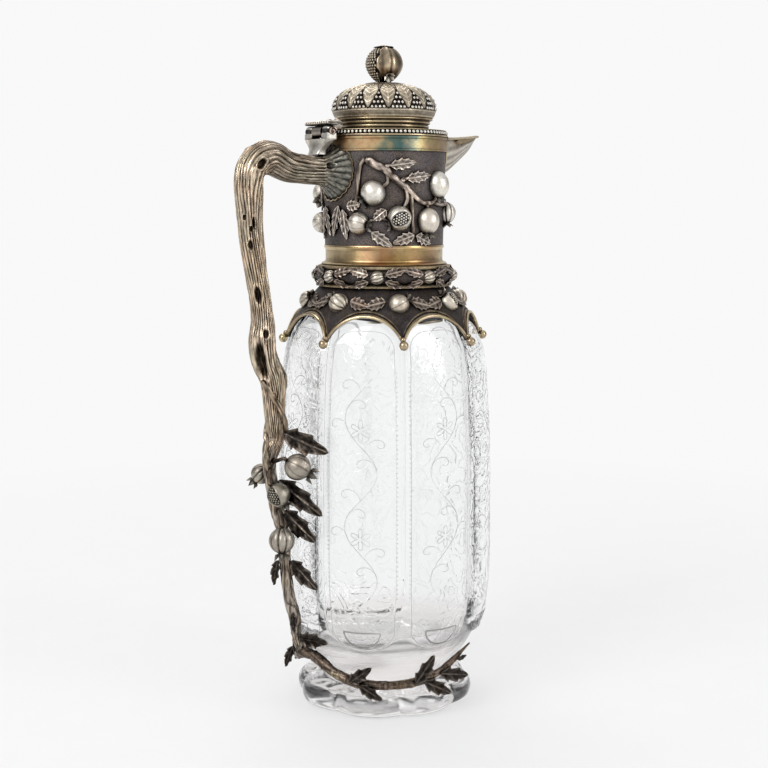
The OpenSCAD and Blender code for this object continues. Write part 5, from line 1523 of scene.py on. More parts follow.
@dataclass
class Lid:
    """Flange with beads, stepped mouldings, pierced-look dome and the pomegranate finial."""

    flange_r: float = 28.0
    bead_r: float = 0.8
    beads: int = 90
    dome_r: float = 22.6
    dome_h: float = 15.4
    reserves: int = 16
    columns: int = 640
    finial_r: float = 8.4
    finial_z: float = 281.5
    split_az: float = -190.0
    crown_az: float = -103.0
    crown_lean: float = 130.0
    outline: tuple = ((0.93, 0), (0.98, 0.12), (1, 0.26), (0.985, 0.42), (0.93, 0.58), (0.83, 0.72),
                      (0.7, 0.83), (0.54, 0.91), (0.37, 0.97), (0.24, 1.0))
    pearl_rows: tuple = (4, 3, 2, 1)

    def flange(self) -> Solid:
        """Flange turned about the axis: a lip, the channel of the beads, darkened as their painted shade, and a
        flat gilt top.
        """
        z, top = STACK.lid_z, STACK.step_z
        outline = rounded([(17.6, z), (self.flange_r, z), (self.flange_r, z + 0.72), (26.2, z + 0.72),
                           (26.2, z + 2.5), (27.2, z + 2.5), (27.2, z + 2.85), (25.6, z + 3.0), (22.2, top),
                           (17.6, top)], 0.22)
        # Painted shade: the channel behind the beads is left ungilt and made nearly black where the beads'
        # shadow falls.
        deep = (outline[:, 0] < 27.4) & (outline[:, 1] > z + 0.6) & (outline[:, 1] < z + 2.3)
        return turned(outline, 288, np.where(deep, 0.02, 1.0), np.where(deep, 0.0, 1.0))

    def bead_row(self) -> Solid:
        """Ninety beads in the flange's channel."""
        a = np.arange(self.beads) * 360.0 / self.beads
        return ball(self.bead_r, 8, 12).repeated(polar(self.flange_r - 0.9, a, STACK.lid_z + 1.6))

    def steps(self) -> Solid:
        """Gilt mouldings between the flange and the dome."""
        z = STACK.step_z
        outline = rounded([(17.6, z), (19.2, z), (19.2, z + 0.9), (19.6, z + 1.1), (19.6, z + 1.9),
                           (19.2, z + 2.1), (19.2, z + 2.5), (20.1, z + 2.7), (20.1, z + 3.6), (19.7, z + 3.8),
                           (19.7, z + 4.1), (21.2, z + 4.3), (21.2, z + 5.0), (17.6, z + 5.0)], 0.3)
        deep = ((outline[:, 1] > z + 1.95) & (outline[:, 1] < z + 2.6)) | (outline[:, 1] < z + 0.95)
        return turned(outline, 288, np.where(deep, 0.15, 1.0), 1.0)

    def dome_row(self, share: Array) -> tuple[Array, Array, Array, Array]:
        """The dome's outline.

        The normal is the difference between a thousandth further on and a thousandth back, turned
        square.

        Args:
            share: Share of the outline from its foot to its top.

        Returns:
            Radius, height, and the normal's parts outwards and upwards.
        """
        at, step = np.linspace(0, 1, len(self.outline)), 1e-3

        def place(where: Array) -> list[Array]:
            """Radius and height as shares of the dome's."""
            return [eased_table(where, np.stack([at, column], -1)) for column in np.array(self.outline).T]

        r, z = place(share)
        (r2, z2), (r3, z3) = place(np.minimum(share + step, 1)), place(np.maximum(share - step, 0))
        dr, dz = (r2 - r3) * self.dome_r, (z2 - z3) * self.dome_h
        size = np.hypot(dr, dz) + 1e-9
        return r * self.dome_r, STACK.dome_z + z * self.dome_h, dz / size, -dr / size

    def dome(self) -> Solid:
        """The dome with its chased pattern.

        Each of the sixteen cells holds a triangular reserve, sunk 0.5 mm, whose half width falls
        evenly from its base to its point. Between reserves stands a pointed leaf with a sunk
        outline, a raised midrib and veins slanting from it.

        Returns:
            The closed dome, its underside a plain shell.
        """
        share = np.concatenate([np.linspace(0.0, 0.86, 128), np.linspace(0.87, 1.0, 14)])[:, None]
        a = (np.arange(self.columns) / self.columns)[None]
        cell = np.mod(a * self.reserves + 0.25, 1.0) - 0.5
        low, high = 0.19, 0.6
        t = (share - low) / (high - low)
        reserve = smooth(np.minimum((0.47 * (1 - t) + 0.04 - np.abs(cell)) * 9, (t + 0.02) * 8))
        petal = np.abs(np.mod(a * self.reserves + 0.75, 1.0) - 0.5)
        s = (share - 0.22) / 0.78
        half = 0.5 * np.sin(np.pi * np.clip(s, 0.0, 1.0) ** 0.6) ** 0.7 * np.ones_like(petal)
        outline = ridge(petal - half, 0.035)
        rib = ridge(petal, 0.03) * smooth(s * 6)
        vein = (0.5 + 0.5 * np.cos(2 * np.pi * (9 * s - 3.2 * petal))) ** 4 * (petal < half) * smooth(s * 6)
        cross_leaf = (0.5 + 0.5 * np.cos(2 * np.pi * (10 * s + 3.0 * np.abs(cell)))) ** 4
        cross_leaf = cross_leaf * smooth((s - 0.42) * 8)
        band = ridge(share - 0.165, 0.012) + ridge(share - 0.03, 0.02)
        lift = (0.16 * rib + 0.1 * vein + 0.09 * cross_leaf - 0.22 * outline * smooth(s * 8)
                - 0.5 * reserve + 0.14 * band)
        r, z, nr, nz = self.dome_row(share)
        face = polar(r + lift * nr, a * 360.0, z + lift * nz)
        under = polar(r * 0.93, a * 360.0, STACK.dome_z + (z - STACK.dome_z) * 0.92)[::-1]
        grid = np.concatenate([face, under[::12]])
        worn = np.clip(0.5 + 0.5 * (rib + vein + cross_leaf) - 0.7 * outline - reserve + 0.3 * band, 0.02, 1)
        worn = np.where(share < 0.18, np.clip(0.42 + 0.5 * band, 0, 1), worn) * np.ones_like(a)
        return Solid.lofted(grid, np.concatenate([worn, 0 * under[::12, :, 0]]), 0.0, looped=True)

    def pearls(self) -> Solid:
        """Pearls in rows of four, three, two and one in every reserve."""
        rows = np.repeat(np.arange(4), self.pearl_rows)
        place = np.concatenate([np.arange(n) - (n - 1) / 2 for n in self.pearl_rows])
        share = 0.225 + rows * 0.088
        r, z, nr, nz = self.dome_row(share)
        cell = (np.arange(self.reserves) + 0.25) * 360.0 / self.reserves
        a = cell[:, None] + np.degrees(place * 1.68 / r)[None]
        centres = polar((r - 0.18 * nr)[None], a, (z - 0.18 * nz)[None]).reshape(-1, 3)
        return ball(0.7, 6, 10).repeated(centres, np.tile(1 - 0.05 * rows, self.reserves))

    def taper(self, up: Array) -> Array:
        """Factor of the finial's radius where its direction rises by up: less below the middle."""
        return 1 - 0.12 * smooth((-up + 0.1) / 1.0)

    def finial(self) -> Solid:
        """The pomegranate with its split towards the handle.

        A ball whose lower part narrows to the dome, with streaks running from pole to pole; inside
        an upright ellipse about the split's direction it sinks behind a raised, wavy edge.

        Returns:
            The fruit and its small cap.
        """
        a = np.linspace(0.03, np.pi - 0.03, 96)[:, None]
        b = (np.arange(160) * 360.0 / 160)[None]
        way = polar(np.sin(a), b, -np.cos(a))
        streak = Grain(11, 40, 2).at(b / 360.0, a / np.pi)
        off = np.radians(np.mod(b - self.split_az + 180, 360) - 180) * np.sin(a)
        wave = 0.05 * np.sin(7 * a) + 0.03 * np.sin(13 * a)
        spot = np.hypot(off / (0.8 + wave), (a - 1.62) / 1.3)
        sunk = smooth((1 - spot) / 0.1)
        lip = ridge(spot - 1.06, 0.07)
        reach = self.finial_r * (1 + 0.008 * streak - 0.13 * sunk + 0.02 * lip)
        points = way * reach[..., None] * 0.983
        points[..., :2] *= self.taper(way[..., 2:])
        points[..., 2] = np.where(points[..., 2] < 0, points[..., 2] * 0.95, points[..., 2])
        centre = np.array([0, 0, self.finial_z])
        worn = np.clip(0.72 + 0.55 * streak - 0.86 * sunk + 0.2 * lip, 0.03, 1)
        # Painted shade: the lower half of the ball is darkened by up to three quarters.
        worn = worn * (1 - 0.75 * smooth((-way[..., 2] - 0.1) / 0.6))
        k = np.linspace(0, np.pi, 12)[:, None]
        cap_r = 3.6 + 0.75 * np.cos(k) * np.ones_like(b) + 0.25 * np.cos(np.radians(5 * b))
        cap = polar(cap_r, b, 7.45 + 0.28 * np.sin(k))
        return Solid.joined([Solid.lofted(points + centre, worn), Solid.lofted(cap + centre, 0.02)])

    def seeds(self) -> Solid:
        """Seeds filling the split in staggered rows."""
        i, j = np.meshgrid(np.arange(-6, 7), np.arange(-9, 10), indexing="ij")
        lean = (j * 0.155).ravel()
        off = ((i + 0.5 * (j % 2)) * 0.185).ravel()
        keep = np.hypot(off / 0.7, lean / 1.2) < 1
        lean, off = lean[keep], off[keep]
        a = np.pi / 2 + lean + 0.05
        way = polar(np.sin(a), self.split_az + np.degrees(off / np.sin(a)), -np.cos(a))
        centres = way * (self.finial_r * 0.9)
        centres[:, :2] *= self.taper(way[:, 2:])
        return ball(0.66, 6, 9).repeated(centres + np.array([0, 0, self.finial_z]))

    def crown(self) -> Solid:
        """Small six-pointed crown low on the front of the finial."""
        lean = math.radians(self.crown_lean)
        way = polar(math.sin(lean), self.crown_az, math.cos(lean))
        crown = Pomegranate(3.9, Rind.PLAIN, 1.0, 1.0).calyx()
        crown.relief = np.clip(crown.relief * 1.6, 0, 1)
        return crown.placed(np.array([0, 0, self.finial_z]) + way * 4.3, way, np.array([0, 0, 1.0]))

    def build(self) -> None:
        """Puts the lid's pieces in."""
        make_piece("LidFlange", self.flange(), GILT, "lid_flange")
        make_piece("LidBeads", self.bead_row(), RUBBED, "lid_beads")
        make_piece("LidSteps", self.steps(), GILT, "lid_steps")
        make_piece("LidDome", self.dome(), DOME, "lid_dome")
        make_piece("LidPearls", self.pearls(), RUBBED, like="lid_beads")
        make_piece("FinialFruit", self.finial(), FINIAL, "finial_fruit")
        make_piece("FinialSeeds", self.seeds(), SEEDS, "finial_seeds")
        make_piece("FinialCrown", self.crown(), CROWN, "finial_crown")
        plain = replace(RUBBED, name="plain_silver", on_mesh=False)
        dress_node("lid_bezel", GILT_PLAIN)
        dress_node("finial_stud", plain)
        dress_node("finial_nut", plain)


# ---- Hinge ----

@dataclass
class Hinge:
    """Ribbed thumb plate, barrel on its seats, fan bracket and scroll lug."""

    x: float = -32.0
    z: float = 252.0
    width: float = 20.0
    knuckle_r: float = 2.5
    middle: float = 7.4
    play: float = 0.3
    plate_z: float = 254.8
    plate_t: float = 1.3
    ribs: int = 11

    def plate(self) -> Solid:
        """The ribbed plate.

        Rings follow one another across the jug, each a rounded slab; the top rises and falls as
        |sin| eleven times over the width, the ribs ending in scallops at both edges.

        Returns:
            The closed plate.
        """
        y = np.linspace(-self.width / 2, self.width / 2, 221)
        rib = np.abs(np.sin(np.pi * self.ribs * (y / self.width + 0.5))) ** 1.3
        back, front = self.x - self.knuckle_r, -27.0
        k = np.linspace(0, 2 * np.pi, 40, endpoint=False)
        px, pz = blunted(np.cos(k), 0.35), blunted(np.sin(k), 0.6)
        middle, half = (back + front) / 2, (front - back) / 2
        ease = np.minimum(1, 0.75 + 8 * (1 - np.abs(y) / (self.width / 2)))[:, None]
        x = middle + (half - 0.6 * (1 - rib[:, None])) * px[None] * ease
        top = self.plate_t / 2 * (0.2 + 1.5 * rib[:, None])
        z = self.plate_z + self.plate_t / 2 + np.where(pz[None] > 0, top, self.plate_t / 2) * pz[None]
        grid = np.stack([x, np.broadcast_to(y[:, None], x.shape), z], -1)
        worn = np.where(pz[None] > -0.2, 0.12 + 0.88 * rib[:, None], 0.3)
        return Solid.lofted(grid, worn, 0.2)

    def bracket(self) -> Solid:
        """Fan under the barrel.

        Rounded oblongs follow one another from the barrel down to the branch. Their half width is
        4.4 mm plus 5.5 (1 - eased t)^1.5 mm at share t of the way down, and their half depth is
        drawn in by up to 0.9 mm in the middle, so that both sides are hollow.

        Returns:
            The closed fan.
        """
        t = np.linspace(0.0, 1.0, 60)[:, None]
        z = 248.9 - (248.9 - 242.5) * t
        wide = 4.4 + 5.5 * (1 - smooth(t / 1.02)) ** 1.5
        deep = 2.9 - 0.9 * np.sin(np.pi * np.clip(t, 0, 1)) ** 0.8
        k = (np.arange(72) * 2 * np.pi / 72)[None]
        px, py = blunted(np.cos(k), 0.5), blunted(np.sin(k), 0.5)
        flute = 1 - 0.05 * (1 - np.abs(np.cos(3 * k)))
        x = self.x - 0.4 - 1.7 * t + deep * px * flute
        grid = np.stack([x, wide * py, z * np.ones_like(k)], -1)
        return Solid.lofted(grid, 0.55 + 0.45 * np.abs(np.cos(2.5 * k)) * np.ones_like(t))

    def box(self, low: Sequence[float], high: Sequence[float], power: float = 0.3) -> Solid:
        """A rounded block between two corners.

        It is a ball whose sines and cosines are each taken to a power, which squares it off.

        Args:
            low: Its corner with the smallest x, y and z.
            high: Its corner with the largest.
            power: The lower, the sharper its edges.

        Returns:
            The closed block.
        """
        low, high = np.asarray(low, float), np.asarray(high, float)
        middle, half = (low + high) / 2, (high - low) / 2
        a = np.linspace(0.05, np.pi - 0.05, 20)[:, None]
        k = (np.arange(48) * 2 * np.pi / 48)[None]
        rise = -blunted(np.cos(a), power)
        wide = np.sin(a) ** power
        grid = np.stack([wide * blunted(np.cos(k), power), wide * blunted(np.sin(k), power),
                         rise * np.ones_like(k)], -1)
        return Solid.lofted(grid * half + middle, 0.8)

    def knuckles(self) -> Solid:
        """Fan with a seat and a fixed knuckle on each side, the knuckles dark in their grooves."""
        outer = (self.width - self.middle) / 2 - self.play
        side, block_r = (self.width - outer) / 2, self.knuckle_r - 0.08
        fixed = [self.bracket()]
        for s in (-1, 1):
            near, far = s * side - outer / 2, s * side + outer / 2
            fixed.append(self.box((self.x - self.knuckle_r, near, 248.3), (self.x + 2.3, far, 251.6)))
            block = self.box((self.x - block_r, near, self.z - block_r),
                             (self.x + block_r, far, self.z + block_r), 0.6)
            x, y, z = block.points.T
            end = smooth((np.abs(y - s * side) - outer / 2 + 0.5) / 0.3)
            block.relief = (np.where(np.abs(z - self.z) < 1.2, 0.06, 0.95)
                            * (1 - 0.8 * end * (x > self.x - 1.8)))
            fixed.append(block)
        return Solid.joined(fixed)

    def scrolls(self, x: float, y: float, z: float, angle: Array, size: Array, twigs: tuple) -> Solid:
        """A pair of scrolls square to the pin.

        Each is a spiral of the given sizes at the given angles in x and z.

        Args:
            x: Middle of the spirals along the jug.
            y: How far each stands from the middle plane.
            z: Middle of the spirals in height.
            angle: Angle at each point.
            size: Distance from the middle at each point.
            twigs: Thickness at both ends, points round and seed.

        Returns:
            Both scrolls.
        """
        paths = [np.stack([x + size * np.cos(angle), s * y + 0 * size, z + size * np.sin(angle)], -1)
                 for s in (-1, 1)]
        return Solid.joined([twig(path, *twigs, 0.03, (0, 1, 0)) for path in paths])

    def build(self) -> None:
        """Puts the hinge's pieces in."""
        make_piece("HingeBracket", self.knuckles(), BRACKET, "hinge_bracket")
        make_piece("ThumbPlate", self.plate(), RUBBED, "thumb_plate")
        t = np.linspace(0, 1, 60)
        ends = self.scrolls(self.x, self.width / 2 + 0.05, self.z, 9.0 * t, 1.9 * (1 - 0.85 * t),
                            (0.5, 0.36, 10, 33))
        make_piece("HingeScrolls", ends, FOLIAGE, like="shoulder_collar")
        lug = self.scrolls(-26.0, self.middle / 2 - 0.5, 255.6, 4.6 * t * np.pi / 2 - 0.5, 2.0 * (1 - 0.8 * t),
                           (0.75, 0.4, 12, 31))
        make_piece("LugScrolls", lug, FOLIAGE, like="lid_lug")
        dress_node("lid_lug", replace(DARK_METAL, name="lug_metal", bright=(0.4, 0.38, 0.33)))
        dress_node("hinge_pin", DARK_METAL)


# ---- Handle ----

@dataclass
class Handle:
    """Root, branch, stem and twigs of the handle with their fruits and leaves."""

    root_x: float = -34.0
    reach: float = 33.0
    drop: float = 205.6
    radius: float = 6.3
    stem_x: float = 52.0
    stem_r: float = 2.6
    twig_r: float = 1.5
    leaf_l: float = 21.0
    leaf_w: float = 8.6
    sides: int = 240
    rings: int = 400
    branch_at: tuple = ((0, 0, 1), (0.22, -0.002, 0.97), (0.45, -0.008, 1.03), (0.66, -0.0235, 1.12),
                        (0.8, -0.0205, 1.1), (0.905, -0.008, 1.04), (0.965, 0.012, 1.02), (0.988, 0.04, 0.97),
                        (0.992, 0.074, 0.9), (0.985, 0.11, 0.85), (0.96, 0.15, 0.82), (0.92, 0.19, 0.78),
                        (0.875, 0.23, 0.74), (0.835, 0.27, 0.73), (0.81, 0.31, 0.8), (0.805, 0.345, 0.98),
                        (0.79, 0.375, 1.02), (0.755, 0.4, 0.96), (0.7, 0.425, 0.86), (0.67, 0.455, 0.8),
                        (0.66, 0.485, 0.74), (0.645, 0.52, 0.68), (0.64, 0.545, 0.6))
    hollows: tuple = ((6, 30, 0.9, 26, 1.1), (11.6, 35, 0.8, 20, 1.4), (15.8, 35, 1.3, 32, 2.6))
    knots: tuple = ((-1.3, 104, 0.85, 12, 0.9), (4.95, 93, 0.5, 13, 1.7), (1.9, 138, 0.5, 7, 0.5),
                    (12.5, 128, 0.45, 20, 1.4), (8.6, 138, 0.15, 9, 0.8), (8.9, 98, 0.32, 8, 0.9),
                    (9.2, 112, 0.13, 8, 0.8), (10, 122, 0.24, 11, 1), (14.6, 108, 0.28, 14, 0.9),
                    (16.3, 136, 1.35, 23, 2.2), (18, 150, 0.3, 14, 0.9), (4, 190, 0.5, 22, 1),
                    (8, 250, 0.4, 18, 1), (13.4, 300, 0.5, 20, 1.1))
    stem_at: tuple = ((3.3, 0.5474, 0), (3.5, 0.56, 0), (6.3, 0.597, 0), (5.7, 0.64, 0), (2.9, 0.705, 0),
                      (0, 0.75, 0), (-0.8, 0.815, 0), (-1, 0.859, -1.2), (-1.8, 0.904, -3),
                      (-3, 0.939, -4.6), (-4.6, 0.972, -2.4), (-6.6, 0.996, -0.8), (-8, 1.014, 0))
    fruits_at: tuple = ((6, (-0.5, 7.7, 1.6), 4.5, (-0.4, 0.6, -0.7), 4, Rind.RIBBED),
                        (2, (2.7, -14.3, -8.9), 5.7, (0.75, -0.2, -0.5), 4, Rind.STRIPED),
                        (6, (-1.3, -8.8, -4.7), 5.0, (0.5, -0.3, -0.8), 5, Rind.SPLIT),
                        (8, (-2.5, -8.6, -11.2), 5.6, (-0.05, -0.1, -1), 8, Rind.RIBBED))
    leaves_at: tuple = ((-1, (10, -23, -7), (10.5, -23.2, -7.4), 1.1, 0.35),
                        (6, (0.7, -0.7, 0), (11.5, -24.7, -16.4), 1.22, 0.06),
                        (8, (0.6, -0.8, 0), (6.4, -18.7, -13.5), 0.98, 0.15),
                        (12, (0.6, -0.8, 0), (4.4, -15.7, -11.6), 0.86, 0.3),
                        (12, (-0.9, 0.5, 0), (-1.6, 1.2, -9), 0.55, 0.3),
                        (17, (-0.5, -0.86, 0), (-0.6, -1.4, -7), 0.4, 0.3),
                        (21, (0.3, -1, 0), (5, -18, 1), 0.72, 0.3), (23, (-1, 0.3, 0), (-3, 2.5, -9), 0.5, 0.3))
    spine: Array = field(init=False)
    spine_r: Array = field(init=False)
    stem: Array = field(init=False)
    stem_radii: Array = field(init=False)

    def __post_init__(self) -> None:
        """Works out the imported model's centre lines: two rings for each listed place."""
        p = np.array(self.branch_at)
        line = np.stack([self.root_x - self.reach * p[:, 0], 0 * p[:, 0],
                         STACK.root_z - self.drop * p[:, 1]], -1)
        both = through(np.column_stack([line, p[:, 2] * self.radius]), 2 * len(p) - 1)
        self.spine, self.spine_r = both[:, :3], both[:, 3]
        q = np.array(self.stem_at)
        line = np.stack([-(self.stem_x + q[:, 0]), q[:, 2], STACK.root_z - self.drop * q[:, 1]], -1)
        self.stem = through(line, 2 * len(q) - 1)
        i = np.arange(len(self.stem))
        fall = 1.28 + (0.86 - 1.28) * i / (len(i) - 1)
        self.stem_radii = self.stem_r * fall * (1 + 0.07 * np.sin(np.radians(i * 47)))

    def bark(self) -> Solid:
        """Root and branch as one skin.

        Rings follow the centre line from the sleeve and run on a little way over the stem. The
        radius is the branch's own, flared to 12.9 at the sleeve, waved by 5 % three times round and
        drawn in at the hollows. Ridges, 27 round it, wander along it by noise; at the root they open
        into 24 tarnished flutes. Each knot is a pit with a raised rim.

        Returns:
            The closed skin.
        """
        places = np.array([(x, 0, STACK.root_z, r) for x, r in
                           ((-25.0, 12.9), (-26.4, 12.2), (-28.2, 10.0), (-30.2, 8.0), (-32.2, 6.9))])
        packed = np.vstack([np.column_stack([self.spine[::2], self.spine_r[::2]]),
                            np.column_stack([self.stem[[2, 3, 4]], (3.75, 3.4, 2.6)])])
        both = through(np.vstack([places, packed]), self.rings)
        along = np.linspace(0, len(places) + len(packed) - 1, self.rings)[:, None] - len(places)
        v, u = (along + len(places)) / (len(places) + len(packed)), (np.arange(self.sides) / self.sides)[None]
        degrees = u * 360.0
        root = smooth((0.6 - along) / 4.5)
        wander = 1.1 * Grain(41, 5, 9).at(u, v) + 0.25 * Grain(42, 9, 30).at(u, v)
        phase = np.pi * (27 * u + wander)
        dashes = Grain(45, 80, 130).at(u, v)
        groove = np.abs(np.cos(phase)) ** 0.9 * (0.82 + 0.18 * smooth(1.4 + 2.2 * dashes))
        fine = Grain(43, 90, 60).at(u, v)
        flutes = np.abs(np.cos(np.pi * 24 * u)) ** 0.8
        relief = groove * (1 - root) + flutes * root
        depth = 0.05 * np.sin(np.radians(3 * degrees + 40 * np.maximum(along, 0))) * (1 - root)
        radii = both[:, 3:] * (1 + depth) - 0.42 * (1 - groove) * (1 - root) - 0.7 * (1 - flutes) * root
        radii = np.minimum(radii + 0.14 * fine * (1 - 0.5 * root), both[:, 3:] * 1.045)

        def distance(at: float, side: float, long: float, wide: float) -> Array:
            """Distance from a place on the bark, 1 on an oval of the given length and width."""
            return np.hypot((along - at) / long, (np.mod(degrees - side + 180.0, 360.0) - 180.0) / wide)

        for *oval, deep in self.hollows:
            radii = radii - deep * smooth(1.3 - distance(*oval))
        worn = 0.34 + 0.8 * relief ** 1.1 + 0.3 * fine - 0.25 * smooth(-2.5 * dashes)
        worn = worn * (0.72 + 0.28 * smooth((along - 4.0) / 3.0))
        uneven = 1 + 0.12 * Grain(44, 12, 30).at(u, v)
        for *oval, deep in self.knots:
            spot = distance(*oval) * uneven
            radii = radii - deep * smooth((1 - spot) / 0.5) + 0.42 * deep * ridge(spot - 1.2, 0.24)
            worn = worn * (1 - 0.93 * smooth((1.06 - spot) / 0.3)) + 0.4 * ridge(spot - 1.25, 0.2)
        gold = (0.4 * smooth((5.2 - along) / 2.5) + 0.5 * smooth((0.4 - along) / 3.0)) * np.ones_like(u)
        grid = sections(both[:, :3], radii, (0, 1, 0))
        seat_r = 26.75
        face = -np.sqrt(np.maximum(seat_r ** 2 - grid[..., 1] ** 2, 1.0))
        grid[..., 0] += (face + seat_r) * smooth((-1.6 - along) / 3.0)
        step = np.linalg.norm(np.gradient(both[:, :3], axis=0), axis=1)
        flow = polar(both[:, 3:], degrees, np.cumsum(step)[:, None])
        return Solid.lofted(grid, np.clip(worn, 0.02, 1), gold, flow=flow)

    def root_edge(self) -> Solid:
        """Thin gilt edge of the root, scalloped to its flutes: a hoop on the sleeve's face."""
        u = np.arange(288) / 288
        r = 13.0 - 0.55 * (1 - np.abs(np.cos(np.pi * 24 * u)) ** 0.8)
        y, z = r * np.cos(2 * np.pi * u), STACK.root_z + r * np.sin(2 * np.pi * u)
        path = np.stack([-np.sqrt(26.95 ** 2 - y ** 2), y, np.minimum(z, STACK.mouth_z - 1.2)], -1)
        away = unit((path - [0, 0, STACK.root_z]) * np.array([0, 1, 1]))
        return moulding(path, away, unit(path * np.array([1, 1, 0])), 0.34, 0.34)

    def twigs(self) -> Solid:
        """Twig winding round the lower branch and a thinner one opposite it."""
        first = len(self.spine) - 14
        n = len(self.spine) - first + 5
        spine = np.concatenate([self.spine[first:], self.stem[1:6]])
        around = np.concatenate([self.spine_r[first:] * 1.05, self.stem_radii[1:6] * 1.04])
        made = []
        for start, radius, seed in ((250.0, 1.35 * self.twig_r, 61), (95.0, 1.6, 66)):
            a = np.radians(start + 19.0 * np.arange(n))
            rise = smooth((np.arange(n) - 1) / 6.0)
            r = (around * (0.5 + 0.42 * rise) + 0.2 * radius * rise)[:, None]
            path = through(spine + r * np.stack([np.cos(a), np.sin(a), 0 * a], -1), 150)
            made.append(twig(path, radius, radius * 0.7, 22, seed, 0.16, (0, 1, 0)))
        return Solid.joined(made)

    def stalks(self) -> Solid:
        """Stalks that leave the stem squarely and end on the fruit opposite its crown."""
        made = []
        for ring, off, radius, way, start, _ in self.fruits_at:
            crown = unit(np.array(way, float))
            end = self.stem[ring] + np.array(off) - crown * (radius + SEAT * 0.5)
            side = unit((end - self.stem[start]) * np.array([1, 1, 0]))
            begin = self.stem[start] + side * self.stem_radii[start] * 0.9
            path = through([begin, begin + side * 1.3, end - crown * 1.2, end], 40)
            made.append(twig(path, 0.95, 0.8, 12, 71, 0.1, (0.1, 0.1, 1)))
        return Solid.joined(made)

    def fruits(self) -> Solid:
        """Pomegranates of the spray beside the stem."""
        made = []
        for ring, off, radius, way, _, rind in self.fruits_at:
            fruit = Pomegranate(radius, rind, 1.02, 1.6, (-0.27, -0.45, 0.85), (0.86, 0.5), 48, 72)
            made.append(fruit.solid().placed(self.stem[ring] + np.array(off), np.array(way, float),
                                             np.array([-0.6, -0.8, 0.2])))
        return Solid.joined(made)

    def leaves(self) -> Solid:
        """Leaves of the stem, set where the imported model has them; one grows from the branch's end."""
        made = []
        for ring, side, way, share, fold in self.leaves_at:
            centre, r = self.stem[ring], self.stem_radii[ring]
            if ring < 0:
                centre, r = self.spine[ring - 1], self.spine_r[ring - 1] * 1.05
            base = centre + unit(np.array(side, float)) * (r + SEAT)
            leaf = Leaf(self.leaf_l * share, self.leaf_w * min(1.12, 1.1 * share), fold, 0.06, 3, 0.7, 64, 13,
                        0.3)
            made.append(leaf.solid().placed(base, np.array(way, float), np.array([-1, -0.35, 0.2])))
        return Solid.joined(made)

    def build(self) -> None:
        """Puts the handle's pieces in."""
        make_piece("HandleBark", self.bark(), BARK, "handle_root", "handle_branch")
        make_piece("RootEdge", self.root_edge(), GILT, like="rim_band")
        make_piece("HandleTwigs", self.twigs(), BARK, "handle_twig")
        fine = through(np.column_stack([self.stem, self.stem_radii]), 300)
        stem = ribbed(fine[:, :3], fine[:, 3:], 48, 52, (1.2, 14, 60), (0, 1, 0))
        make_piece("HandleStem", stem, STEM, "handle_stem")
        make_piece("HandleFruits", self.fruits(), SPRAY_FRUIT, "handle_fruits")
        make_piece("FruitStalks", self.stalks(), VINE, "fruit_stalks")
        make_piece("HandleLeaves", self.leaves(), SPRAY_LEAF, "handle_leaves")


@dataclass
class FootVine:
    """Two vines that clasp the cone above the foot, with their leaves."""

    radius: float = 2.3
    inside: float = 38.8
    vine_at: tuple = ((175, 14.6), (168, 12.4), (160, 9.8), (150, 7.6), (138, 5.8), (124, 5.4), (110, 5.6),
                      (98, 6.6), (86, 8.6), (76, 11), (66, 14), (57, 17.4))
    leaves_at: tuple = ((7, 12, 9, 0.6, 13), (8, 12, -6, 1.4, 12), (13, 9, 12.4, 0.6, 15),
                        (14, 13, -7, 1, 14.5), (16, 17, -3.6, 2.4, 15), (19, 5, 1, 1.5, 5.4))
    stem_end: tuple = (-44.6, 0.0, 30.5)

    def line(self) -> tuple[Array, Array]:
        """The vine's centre line and radii, two rings for each listed place."""
        p = np.array(self.vine_at, float)
        core = np.interp(STACK.waist_z + p[:, 1], [10.4, 30.4, 39.4], [27.8, 40.4, 43.44])
        away = np.maximum(self.inside, core + self.radius + 0.6)
        path = through(polar(away, -p[:, 0], STACK.waist_z + p[:, 1]), 2 * len(p) - 1)
        i = np.arange(len(path))
        fall = 1 + (0.45 - 1) * (i / (len(i) - 1)) ** 2
        return path, self.radius * fall * (1 + 0.07 * np.sin(np.radians(i * 61)))

    def vine(self, path: Array, radii: Array) -> Solid:
        """One vine: nine knots along it, worn gilding in patches and an end that thins to 0.4."""
        v, u = np.linspace(0, 1, 340)[:, None], (np.arange(44) / 44)[None]
        fine = through(np.column_stack([path, radii]), 340)
        return ribbed(fine[:, :3], fine[:, 3:], 44, 81, (1.3, 16, 70), (0, 0, 1),
                      0.1 * ridge(np.mod(v * 9 + 0.3, 1.0) - 0.5, 0.07),
                      1 - 0.6 * smooth((v - 0.84) / 0.16), 0.8 * smooth(2.6 * Grain(83, 3, 9).at(u, v) - 0.9))

    def build(self) -> None:
        """Puts the vines and their leaves in."""
        path, radii = self.line()
        make_piece("FootVine", Solid.on_both_sides([self.vine(path, radii)]), VINE, "foot_vine")
        end = np.array(self.stem_end)
        joint = twig(through([end, end + [0.9, -0.7, -3.4], path[1], path[4]], 90),
                     2.2, 2.1, 30, 85, 0.14, (0, 0.3, 1))
        make_piece("VineJoint", Solid.on_both_sides([joint]), VINE, like="foot_vine")
        leaves = []
        for ring, turn, rise, reach, length in self.leaves_at:
            centre = path[ring]
            out = unit(centre * np.array([1, 1, 0.0]))
            way = turn * np.array([-out[1], out[0], 0.0]) + np.array([0, 0, rise]) + reach * out
            leaf = Leaf(length, length * 0.44, 0.3, 0.02, 3, 0.7, 56, 11, 0.24)
            leaves.append(leaf.solid().placed(centre + out * (radii[ring] + SEAT), way, out))
        make_piece("FootLeaves", Solid.on_both_sides(leaves), SPRAY_LEAF, "foot_leaves")


# ---- Studio ----

